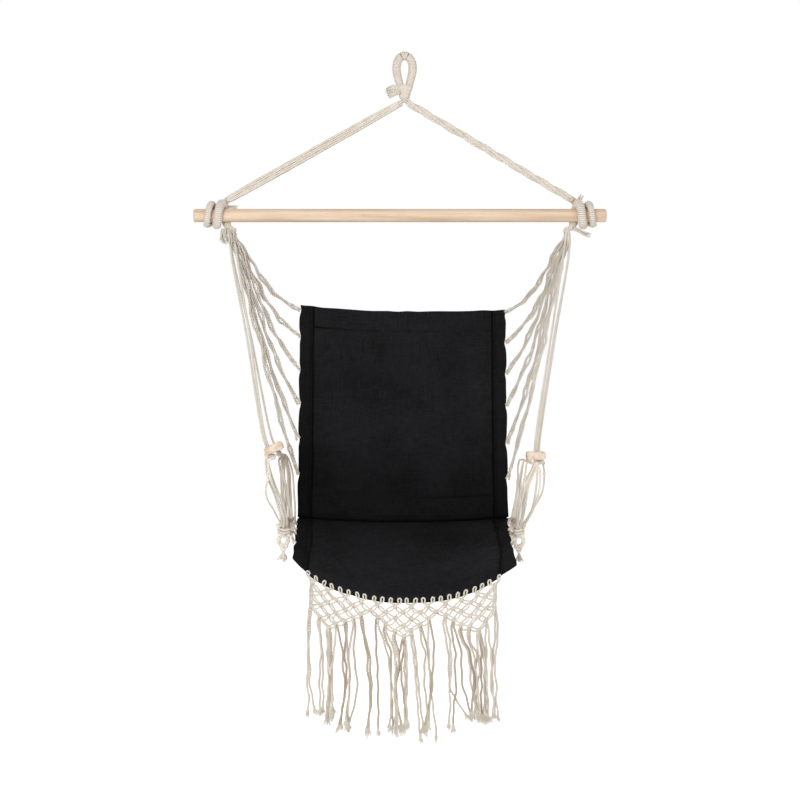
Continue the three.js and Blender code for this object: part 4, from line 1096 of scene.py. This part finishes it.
def gather(side, name):
    """The wrapped collar, bands, knotted ring and ties beside the seat."""
    middle = gather_middle(side)
    build = Build()
    high = np.array((0, 0, GATHER_HEIGHT / 2))
    collar = spline([middle + high, middle, middle - high], WINDING_STEP)
    wound_rope(build, collar, GATHER_DIAMETER * 0.95, COLLAR_WINDING, 18)
    for drop in (0, 1):
        band = mm(
            (9, -8, 12 - 7 * drop), (-4, -15, 10 - 7 * drop), (-20, -12, 12 - 6 * drop),
            (-BAND_REACH[side], -3, 13 - 4 * drop),
        )
        laid_cord(build, spline(middle + band * (side, 1, 1)), BAND_CORD, lay=BAND_LAY)
    low = middle[2] - RING_HEIGHT / 2 - RING_ROPE / 4
    for k in range(RING_KNOTS):
        turn = math.pi / 2 + 0.3 + (2 * math.pi - 0.6) * k / (RING_KNOTS - 1)
        across, up = RING_WIDTH / 2 * math.cos(turn), RING_HEIGHT / 2 * math.sin(turn)
        place = np.array((middle[0] + across, middle[1], low + up))
        way = (-math.sin(turn), 0.3 * (-1) ** k, math.cos(turn))
        knot(build, place, way, *RING_KNOT, k * 1.3)
    for number, share in enumerate(TIE_SHARES):
        edge = seat_point(side, share) + (-side * mm(0.5), 0, 0)
        root = middle + mm(-side * (12 + 5 * number), -6, TIE_ROOTS[number])
        middle_way = (root + edge) / 2 + mm(side * 4, 0, 4 + 3 * number)
        beside = edge + mm(side * (6 - number), 9, TIE_BENDS[number])
        cord_pair(build, np.array([root, middle_way, beside, edge]), TIE_CORD, (0.8,) if number else ())
    for k in range(CHAIN_KNOTS):
        outer = middle + mm(side * (13 - k), -5, 22 - k * 8)
        inner = middle + mm(-side * (15 - 2 * k), -7, -2 - k * 9)
        knot(build, outer, (0.2, 0, 1), *OUTER_KNOT, k)
        knot(build, inner, (-0.2 * side, 0, 1), *INNER_KNOT, k + 1)
    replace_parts(build.piece(f"gather_wraps_{name}", COTTON_PAINTED_LIGHTER, "seat"), f"gather_{name}")


def tassel(side, name):
    """The frayed tassel under a gather."""
    middle = gather_middle(side)
    top = np.array((middle[0], middle[1], box_of(f"tassel_{name}")[1][2]))
    build = Build()
    knot(build, top - (0, 0, mm(4)), (1, 0, 0), *TASSEL_KNOT)
    for _ in range(TASSEL_STRANDS):
        lean = RANDOM.normal(0, 0.3, 3)
        lean[2] = 0
        reach = TASSEL_LENGTH * RANDOM.uniform(0.5, 0.72)
        t = np.linspace(0, 1, 6)[:, None]
        line = top - (0, 0, mm(7)) + np.array((0, 0, -reach)) * t + lean * reach * t**1.3
        laid_cord(build, resampled(line, CORD_STEP), TASSEL_CORD, tone=RANDOM.uniform(1.0, 2.0))
        fray(build, line[-1], line[-1] - line[-2], *TASSEL_FRAY)
    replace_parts(build.piece(f"gather_tassel_{name}", COTTON_PAINTED_LIGHTER, "seat"), f"tassel_{name}")


# Net and fringe


def on_edge(x, z, out=0.0):
    """A point of the flat net laid on the seat's front edge."""
    x, z = np.broadcast_arrays(np.asarray(x, float), np.asarray(z, float))
    edge = seat_point(2 * x / SEAT_FRONT_WIDTH, 1.0)
    lift = edge_lift(2 * x / SEAT_FRONT_WIDTH)
    return np.stack([SLING_MID + x, edge[..., 1] - NET_OUT - out, edge[..., 2] + lift + z], -1)


def column_at(column):
    """How far a column of knots stands from the middle."""
    return (column - (NET_COLUMNS - 1) / 2) * NET_PITCH


def has_knot(row, column):
    """Whether the net has a knot there: full rows first, then three points that narrow to their tips."""
    if column < 0 or column > NET_COLUMNS - 1 or row >= NET_ROWS:
        return False
    if float(column).is_integer() != (row % 2 == 0):
        return False
    return row < NET_FULL_ROWS or any(abs(column - tip) <= (last - row) / 2 for tip, last in NET_TIPS)


def net_knots():
    """The row and column of every knot."""
    for row in range(NET_ROWS):
        for half in range(2 * (NET_COLUMNS - 1) + 1):
            if has_knot(row, half / 2):
                yield row, half / 2


def next_knot(row, column, step):
    """The knot that two strands go on to: beside it, or straight down at the net's side, or none."""
    beside = column + step
    if has_knot(row + 1, beside):
        return row + 1, beside
    if (beside < 0 or beside > NET_COLUMNS - 1) and has_knot(row + 2, column):
        return row + 2, column
    return None


def knot_place(row, column):
    """Where a knot of the flat net stands, a little astray."""
    stray = NET_STRAY * math.sin(9 * row + 23 * column), NET_STRAY * math.sin(17 * row + 11 * column)
    return column_at(column) + stray[0], -(row + 1) * NET_ROW + stray[1] * min(1, row)


def square_knot(build, x, z):
    """A flat knot: two wraps side by side in front of the cords that pass through it, and a dark tube as
    painted shadow in its gap.
    """
    lean = RANDOM.normal(0, 0.12)
    for level, hand in ((NET_KNOT_HEIGHT, 1), (-NET_KNOT_HEIGHT, -1)):
        t = np.linspace(-1, 1, 9)
        xs = x + t * NET_KNOT_HALF * hand
        zs = z + level + lean * (xs - x) + mm(0.9) * t * hand
        out = NET_KNOT_OUT * (1 - np.abs(t) ** 2.5) + mm(0.3)
        # Painted shade: some on the front wraps, more on the rear ones.
        tube(build, on_edge(xs, zs, out), NET_CORD * 0.36 * np.ones(9), 7, 0.62)
        tube(build, on_edge(xs, zs, -out + mm(1.2)), NET_CORD * 0.36 * np.ones(9), 6, 0.4)
    # The cords through the knot are painted in deep shade.
    for hand in (-1, 1):
        t = np.linspace(-1, 1, 7)
        tube(build, on_edge(x + hand * mm(1.7) + 0 * t, z + t * mm(4)), NET_CORD * 0.4 * np.ones(7), 6, 0.25)
    # A short tube, fully in painted shade, stands for the shadow in the gap below the knot.
    t = np.linspace(-1, 1, 5)
    gap = on_edge(x + mm(2.2) + mm(0.9) * t, z - mm(3.3) - mm(1.1) * t, mm(2.3))
    tube(build, gap, mm(1.1) * np.ones(5), 6, 0.0)


def net_cords(build, start, end):
    """Two cords side by side from one knot to the next, a little slack."""
    start, end = np.array(start), np.array(end)
    t = np.linspace(0, 1, 13)[:, None]
    aside = unit(np.array((start[1] - end[1], end[0] - start[0])))
    slack = NET_SLACK * RANDOM.normal(0, 1)
    for hand in (-1, 1):
        apart = NET_PART * RANDOM.uniform(0.75, 1.25) * np.sin(math.pi * t) ** 0.55
        line = start + (end - start) * t + aside * (hand * apart + slack * np.sin(math.pi * t))
        line[:, 1] -= NET_DROOP * RANDOM.uniform(0.5, 1.5) * np.sin(math.pi * t[:, 0]) ** 0.8
        points = resampled(on_edge(line[:, 0], line[:, 1], hand * mm(0.8)), CORD_STEP)
        laid_cord(build, points, NET_CORD, tone=RANDOM.uniform(1.1, 2.2), brown=1.0)


def edge_cords(build, start, end):
    """Cords that run down the outside of the net."""
    start, end = np.array(start), np.array(end)
    t = np.linspace(0, 1, 9)[:, None]
    for hand in (-1, 1):
        line = start + (end - start) * t
        line[:, 0] += hand * mm(1.9) + mm(1.6) * np.sin(math.pi * t[:, 0]) * RANDOM.uniform(-1, 1)
        points = resampled(on_edge(line[:, 0], line[:, 1], hand * mm(0.6)), CORD_STEP)
        laid_cord(build, points, NET_CORD, tone=1.2, brown=0.8)


def edge_loop(build, x, knot_at):
    """A loop of cord through the seat's front edge, and its two cords down to the first knot."""
    half = LOOP_HALF * RANDOM.uniform(0.9, 1.12)
    rise = LOOP_RISE * RANDOM.uniform(0.88, 1.12)
    lean = RANDOM.normal(0, 0.5) * MM
    points = [on_edge(x + a * half + lean * (b + 1), LOOP_LIFT + b * rise, mm(c)) for a, b, c in LOOP_ROUTE]
    (kx, kz), (aside, above) = knot_at, LOOP_FOOT
    down_left, down_right = on_edge(kx - aside, kz + above, 0), on_edge(kx + aside, kz + above, 0)
    laid_cord(build, spline([down_left, *points, down_right]), LOOP_CORD, tone=2.0, brown=0.3)


def strand_pairs():
    """The pairs of strands that leave the net, from left to right: the knot, and how far out they leave."""
    leaving = []
    for row, column in net_knots():
        for step in (-0.5, 0.5):
            if not next_knot(row, column, step):
                leaving.append((column, step, row))
    return sorted(leaving)


def hung(x, z, out):
    """A point of the fringe, with its height taken from the middle of the seat's edge."""
    point = on_edge(x, 0.0, out)
    point[2] = on_edge(0.0, 0.0)[2] + z
    return point


def fringe(build):
    """The strands that hang from the net, with kinks and frayed ends."""
    level = on_edge(0.0, 0.0)[2]
    for pair, (column, step, row) in enumerate(strand_pairs()):
        x, z = knot_place(row, column)
        z = on_edge(x, z)[2] - level
        for hand, (middle, low, end, drop) in zip((-1, 1), FRINGE_PAIRS[pair]):
            leave = x + 2 * step * FRINGE_OUT + hand * FRINGE_PART
            places = [(x + hand * mm(1.4), z), (leave, z - FRINGE_FALL), (mm(middle), FRINGE_LEVELS[0])]
            places += [(mm(low), FRINGE_LEVELS[1]), (mm(end), -mm(drop - FRINGE_TUFT))]
            line = []
            for (x0, z0), (x1, z1) in zip(places, places[1:]):
                line.append((x0, z0))
                sway = RANDOM.normal(0, 1) * FRINGE_WAVE * min(1, (z0 - z1) / FRINGE_WAVE_LEAST)
                line.append(((x0 + x1) / 2 + sway, (z0 + z1) / 2))
            line.append(places[-1])
            deep = RANDOM.normal(0, 1, len(line)) * FRINGE_DEEP
            deep[:2] = 0
            points = spline([hung(a, b, c) for (a, b), c in zip(line, deep)])
            far = lengths_along(points)
            kinks = np.sin(2 * math.pi * far / mm(RANDOM.uniform(*FRINGE_KINKS)) + RANDOM.uniform(0, 6))
            points[:, 0] += FRINGE_KINK * kinks * ramped(far, 0, FRINGE_KINK_START)
            # Each strand's painted shade is deepened or lightened at random, and its sides are painted in
            # shade.
            laid_cord(build, points, FRINGE_CORD, tone=RANDOM.uniform(0.4, 1.2), brown=1.0)
            fray(build, points[-1], points[-1] - points[-8], *FRINGE_FRAY)


def macrame():
    """Loops on the seat's edge, the knotted net and the fringe."""
    build = Build()
    for row, column in net_knots():
        here = knot_place(row, column)
        square_knot(build, *here)
        for step in (-0.5, 0.5):
            below = next_knot(row, column, step)
            if below:
                cords = net_cords if below[0] == row + 1 else edge_cords
                cords(build, here, knot_place(*below))
            if row == 0:
                edge_loop(build, column_at(column + step / 2) + mm(RANDOM.normal(0, 1)), here)
    fringe(build)
    made = build.piece("knotted_net", COTTON)
    corner = on_edge(SEAT_FRONT_WIDTH / 2, 0.0)[2]
    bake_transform(made)
    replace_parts(made, "macrame_fringe")


# Sling


def risen(distance, hem, rise):
    """How far the padding has risen from a flat hem, round at first, from 0 to 1."""
    return np.sqrt(1 - (1 - ramped(distance, hem, rise)) ** 2)


def hills(u, v, seed, count, reach):
    """Gentle hills and hollows over a panel."""
    rng = np.random.default_rng(seed)
    total = np.zeros_like(u)
    for _ in range(count):
        a, b, phase = rng.normal(0, reach), rng.normal(0, reach), rng.uniform(0, 6.28)
        total += np.sin(a * u * 3 + b * v * 3 + phase)
    return total / math.sqrt(count)


def settled_back(u, v):
    """The right corner of the back hangs lower than the left one, and the top edge is a little frilled."""
    near_top = np.clip(1 - v / 0.28, 0, 1) ** 2
    drop = -RIGHT_CORNER_DROP * np.clip(u, 0, 1) ** 2 + TOP_FRILL * np.sin(13 * u + 3 * np.sin(7 * u))
    return np.stack([0 * u, 0 * u, drop * near_top], -1)


def settled_seat(u, v):
    """The corners of the seat's front edge are pulled out unevenly."""
    corner = ramped(np.abs(u), 0.88, 0.12) ** 1.5 * v**2
    right = u > 0
    height = corner * np.where(right, mm(-10), mm(3)) + edge_lift(u) * v**4
    return np.stack([corner * np.where(right, mm(8), mm(-1)), 0 * u, height], -1)


def join_faces(build, front, rear, crease):
    """A closed panel from its two faces."""
    count = front.shape[0] * front.shape[1]
    build.grid(front, crease, closed=False)
    build.grid(rear, crease, closed=False)
    index = np.arange(count).reshape(front.shape[:2])
    loop = np.concatenate([index[0, :], index[1:, -1], index[-1, -2::-1], index[-2:0:-1, 0]])
    around = np.roll(loop, -1)
    build.quads[0] = build.quads[0][:, ::-1]
    build.quads.append(np.stack([loop, around, around + count, loop + count], axis=-1))


def cloth_moves(front, rear, held):
    """Blows air into a coarse copy of a panel, with its hems held, and gives how far its faces move."""
    build = Build()
    join_faces(build, front, rear, 1.0)
    copy = build.piece("panel_air", CANVAS)
    hems = copy.vertex_groups.new(name="hems")
    hems.add([int(i) for i in np.flatnonzero(np.tile(held.ravel(), 2))], 1.0, "REPLACE")
    settings = copy.modifiers.new("air", "CLOTH").settings
    settings.quality = 6
    settings.mass = 0.2
    settings.tension_stiffness = settings.compression_stiffness = CLOTH_STIFFNESS
    settings.bending_stiffness = CLOTH_BENDING
    settings.vertex_group_mass = "hems"
    settings.use_pressure = True
    settings.uniform_pressure_force = CLOTH_PRESSURE
    settings.shrink_min = -CLOTH_GROWTH
    settings.effector_weights.gravity = 0
    for step in range(1, CLOTH_STEPS + 1):
        bpy.context.scene.frame_set(step)
    settled = copy.evaluated_get(bpy.context.evaluated_depsgraph_get()).data
    after = np.empty(len(settled.vertices) * 3, np.float32)
    settled.vertices.foreach_get("co", after)
    bpy.data.objects.remove(copy)
    bpy.context.scene.frame_set(1)
    moves = after.reshape(2, *front.shape).astype(float) - np.stack([front, rear])
    reach = np.linalg.norm(moves, axis=-1, keepdims=True)
    return moves * CLOTH_CAP * np.tanh(reach / CLOTH_CAP) / np.maximum(reach, 1e-9)


def finer(coarse):
    """Values of a coarse grid, smoothly filled in for every line of the panel's grid."""
    for axis in (0, 1):
        coarse = np.moveaxis(coarse, axis, 0)
        count = len(coarse)
        place = np.linspace(0, count - 1, (count - 1) * CLOTH_GRID + 1)
        low = np.minimum(place.astype(int), count - 2)
        share = (place - low).reshape(-1, *(1,) * (coarse.ndim - 1))
        before, after = coarse[np.maximum(low - 1, 0)], coarse[np.minimum(low + 2, count - 1)]
        a, b = coarse[low], coarse[low + 1]
        bend = 2 * before - 5 * a + 4 * b - after
        turn = 3 * (a - b) + after - before
        coarse = a + share * ((b - before) / 2 + share * (bend / 2 + share * turn / 2))
        coarse = np.moveaxis(coarse, 0, axis)
    return coarse


def side_seams(x, s, edge, bend=0.0):
    """The seams along both sides, and the fainter stitches outside them, from 0 to 1."""
    wobble = np.where(x > SLING_WIDTH / 2, mm(0.5), mm(1.1)) * np.sin(s / mm(41) + 2 * np.sin(s / mm(83)))
    seam = close_to(edge - HEM_WIDTH - mm(1) - (wobble + bend), SEAM_WIDTH)
    return np.maximum(seam, STITCH_SHARE * close_to(edge - HEM_WIDTH + STITCH_OUT, STITCH_WIDTH))


def back_seams(x, s, edge):
    """The side seams, one under the top hem that fades to the right, and a short one low on the right."""
    inside = ramped(edge, HEM_WIDTH, mm(4))
    fading = 0.08 + 0.92 * np.clip(1.2 - (x - HEM_WIDTH) / mm(80), 0, 1)
    top = fading * inside * close_to(s - BACK_TOP_HEM, TOP_SEAM_WIDTH)
    low = 0.5 * (ramped(x, mm(255), mm(90)) * inside) * close_to(s - LOW_SEAM, LOW_SEAM_WIDTH)
    return np.maximum(np.maximum(side_seams(x, s, edge), top), low)


def seat_seams(x, s, edge):
    """The side seams, bent towards the middle on the left and away from it on the right."""
    v = s / SEAT_LENGTH
    left, right = mm(5.5) * close_to(v - 0.4, 0.26), mm(-9) * close_to(v - 0.62, 0.24)
    return side_seams(x, s, edge, np.where(x > SLING_WIDTH / 2, right, left))


def back_painted_shade(s):
    """Painted shade on the back: darker down towards the crease, with a painted shadow close to it."""
    near_crease = close_to(BACK_HEIGHT - s, CREASE_SHADE_WIDTH)
    return (0.86 - 0.34 * ramped(s / BACK_HEIGHT, 0.5, 0.4)) * (1 - CREASE_SHADE * near_crease)


def seat_painted_shade(s):
    """Painted shade on the seat: darker back towards the crease, with a painted shadow close to it."""
    near_crease = close_to(s, CREASE_SHADE_WIDTH)
    return (0.66 + 0.34 * ramped(s / SEAT_LENGTH, 0, 0.6)) * (1 - CREASE_SHADE * near_crease)


def side_pull(u, v, s, length, edge_shares):
    """How far the sides are moved: in at the cords, and in waves between them."""
    pulled = np.zeros_like(v)
    for side in (-1, 1):
        pull = sum(close_to((v - share) * length, CORD_PULL_WIDTH) for share in edge_shares[side])
        near_side = close_to((1 - side * u) * SLING_WIDTH / 2, CORD_PULL_REACH)
        wave = SIDE_WAVE_DEPTH * np.sin(s / SIDE_WAVE_LENGTH + side)
        pulled += side * near_side * (wave - CORD_PULL * pull)
    return pulled


def normals(point_at, u, v):
    """Directions that point out of the front of a surface."""
    step = 1e-3
    right = point_at(u + step, v) - point_at(u - step, v)
    ahead = point_at(u, v + step) - point_at(u, v - step)
    return unit(np.cross(ahead, right))


def panel(name, cad, body, length, hems, edge_shares, seed, point_at, settled, seams, tone):
    """A thinly padded cloth panel with flat sewn hems, puckered along its seams."""
    across = np.linspace(0, SLING_WIDTH, PANEL_COLUMNS * 4 + 1)
    down = np.linspace(0, length, int(length / SLING_WIDTH * PANEL_COLUMNS) * 4 + 1)
    x, s = np.meshgrid(across, down)
    u, v = 2 * x / SLING_WIDTH - 1, s / length
    edge = np.minimum(x, SLING_WIDTH - x)
    filled = risen(edge, HEM_WIDTH, PAD_RISE) * risen(s, *hems[0]) * risen(length - s, *hems[1])
    half = (HEM + (PAD - HEM) * filled) / 2
    seam = seams(x, s, edge)
    pucker = np.sin(s / mm(4.7) + 3 * np.sin(s / mm(23)) + 2 * np.sin(s / mm(9) + x / mm(40)))
    near_seam = close_to(edge - HEM_WIDTH, PUCKER_REACH)
    wrinkle = PUCKER * near_seam * pucker + PAD_HILLS * filled * hills(u, v, seed, 9, 1.6)
    wrinkle += CLOTH_HILLS * hills(u, v, seed + 1, 12, 5.0)
    fronts = half - SEAM_DEPTH * seam + wrinkle * (0.25 + 0.75 * filled)
    rears = half - SEAM_REAR_DEPTH * seam + wrinkle * 0.6
    here = point_at(u, v)
    here[..., 0] += side_pull(u, v, s, length, edge_shares)
    here += settled(u, v)
    normal = normals(point_at, u, v)
    front = here + normal * np.maximum(fronts, CLOTH_LEAST)[..., None]
    rear = here - normal * np.maximum(rears, CLOTH_LEAST)[..., None]
    coarse = (slice(None, None, CLOTH_GRID),) * 2
    moves = cloth_moves(front[coarse], rear[coarse], filled[coarse] < CLOTH_HELD)
    front, rear = front + finer(moves[0]), rear + finer(moves[1])
    hem_tone = np.where(x > SLING_WIDTH / 2, *HEM_TONES)
    hem_tone = hem_tone + (1 - hem_tone) * ramped(edge, HEM_WIDTH - mm(3), mm(6))
    build = Build()
    # The crease values darken the canvas: darker hems, painted shade over the panel from its tone, and
    # painted shade in the seams.
    join_faces(build, front, rear, hem_tone * tone(s) * (1 - SEAM_SHADE * seam))
    made = build.piece(name, CANVAS, None, "black_canvas")
    rounded = made.modifiers.new("rounded", "SUBSURF")
    rounded.levels = rounded.render_levels = 1
    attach(made, body)
    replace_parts(made, cad)


def crease_cloth():
    """The strip of canvas behind the fold, between the back and the seat."""
    across = np.linspace(-0.985, 0.985, 90)
    rings = []
    for u in across:
        top, fold, foot = back_point(u, 0.972), back_point(u, 1.0), seat_point(u, 0.035)
        shifts = mm((0, 2.2, 0), (0, 4.2, 1), (0, 4.4, -3.5), (0, 0, -3.4))
        path = np.array([top, fold, fold, foot]) + shifts
        path = spline(path, np.linalg.norm(path[-1] - path[0]) / 8)
        path = path[np.linspace(0, len(path) - 1, 9).astype(int)]
        rings.append(np.vstack([path, path[::-1] - mm(0, 1.1, -0.6)]))
    build = Build()
    # The strip is painted a little darker, as shade in the fold.
    build.grid(np.array(rings), 0.7)
    made = build.piece("crease_cloth", CANVAS, None, "black_canvas")
    fold = back_point(0, 1.0)
    tuple(fold + mm(0, 0, 8))
    tuple(fold + mm(0, 0, -8))
    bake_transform(made)


def sling():
    """The padded back and seat, and the cloth behind their fold."""
    crease_hem = CREASE_HEM, PAD_RISE
    panel(
        "padded_back", "back_pad", "sling", BACK_HEIGHT, ((BACK_TOP_HEM, PAD_RISE), crease_hem),
        EDGE_SHARES, 3, back_point, settled_back, back_seams, back_painted_shade,
    )
    panel(
        "padded_seat", "seat_pad", "seat", SEAT_LENGTH, (crease_hem, (0.0, RIM_RISE)),
        {-1: TIE_SHARES, 1: TIE_SHARES}, 5, seat_point, settled_seat, seat_seams, seat_painted_shade,
    )
    crease_cloth()


def slats():
    """The slats are the CAD model's own, in beech."""
    for name in ("left", "right"):
        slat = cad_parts[f"armrest_{name}"]
        slat.data.materials.clear()
        slat.data.materials.append(SLAT_WOOD)


# Lights, floor and camera

SURROUND_STRENGTH = 0.53
# Soft lights: their names, places, sizes and powers
LAMPS = (
    ("key", (-1.1, -4.0, -0.1), 1.5, 83),
    ("fill", (2.2, -3.0, -1.1), 1.8, 19),
    ("back", (0.5, 2.8, 0.2), 2.0, 36),
)
LAMP_AIM = Vector((0, 0, -0.85))
FLOOR_REACH, FLOOR_DROP, FLOOR_GLOW = 30, 0.45, 0.72
CAMERA_PLACE, CAMERA_LENS = (-0.011, -4.0, -0.8254), 74.2


def surround():
    """A plain white surround that lights the chair less than it shows."""
    world = bpy.data.worlds.new("surround")
    bpy.context.scene.world = world
    world.use_nodes = True
    tree = world.node_tree
    background = tree.nodes["Background"]
    background.inputs["Color"].default_value = (1, 1, 1, 1)
    rays = node(tree, "ShaderNodeLightPath").outputs
    seen = maths(tree, "MAXIMUM", rays["Is Camera Ray"], rays["Is Glossy Ray"])
    seen = maths(tree, "MAXIMUM", seen, rays["Is Transmission Ray"])
    strength = node(tree, "ShaderNodeMapRange", {"Value": seen, "To Min": SURROUND_STRENGTH, "To Max": 1.0})
    tree.links.new(strength.outputs["Result"], background.inputs["Strength"])


def lights():
    """Soft light from above and in front, and a little from behind."""
    for name, place, size, power in LAMPS:
        lamp = bpy.data.lights.new(name, "AREA")
        lamp.energy, lamp.size = power, size
        aim = LAMP_AIM - Vector(place)
        in_scene(name, lamp, place).rotation_euler = aim.to_track_quat("-Z", "Y").to_euler()


def floor():
    """A pale floor far below the chair."""
    material, tree, principled = shader("pale_floor")
    principled.inputs["Base Color"].default_value = (0.9, 0.9, 0.9, 1)
    principled.inputs["Roughness"].default_value = 0.9
    rays = node(tree, "ShaderNodeLightPath").outputs
    principled.inputs["Emission Color"].default_value = (1, 1, 1, 1)
    glow = maths(tree, "MULTIPLY", rays["Is Camera Ray"], FLOOR_GLOW)
    tree.links.new(glow, principled.inputs["Emission Strength"])
    level = float(CAD_BOX[0][2]) - FLOOR_DROP
    corners = [(x * FLOOR_REACH, y * FLOOR_REACH, level) for x, y in ((-1, -1), (1, -1), (1, 1), (-1, 1))]
    mesh = bpy.data.meshes.new("floor")
    mesh.from_pydata(corners, [], [(0, 1, 2, 3)])
    mesh.materials.append(material)
    in_scene("floor", mesh)


def camera():
    """A camera straight in front, as far as the photo's."""
    data = bpy.data.cameras.new("camera")
    data.lens, data.sensor_width = CAMERA_LENS, 36
    data.clip_end = 100
    holder = in_scene("camera", data, CAMERA_PLACE)
    holder.rotation_euler = (math.radians(90), 0, 0)
    bpy.context.scene.camera = holder
    bpy.context.scene.view_settings.view_transform = "Standard"


camera()
surround()
lights()
floor()
rope_eye()
bridle()
bar()
loose_ends()
for side, name in ((-1, "left"), (1, "right")):
    bar_turns(side, name)
    side_cords(side, name)
    arm_cords(side, name)
    lower_cords(side, name)
    gather(side, name)
    tassel(side, name)
macrame()
sling()
slats()
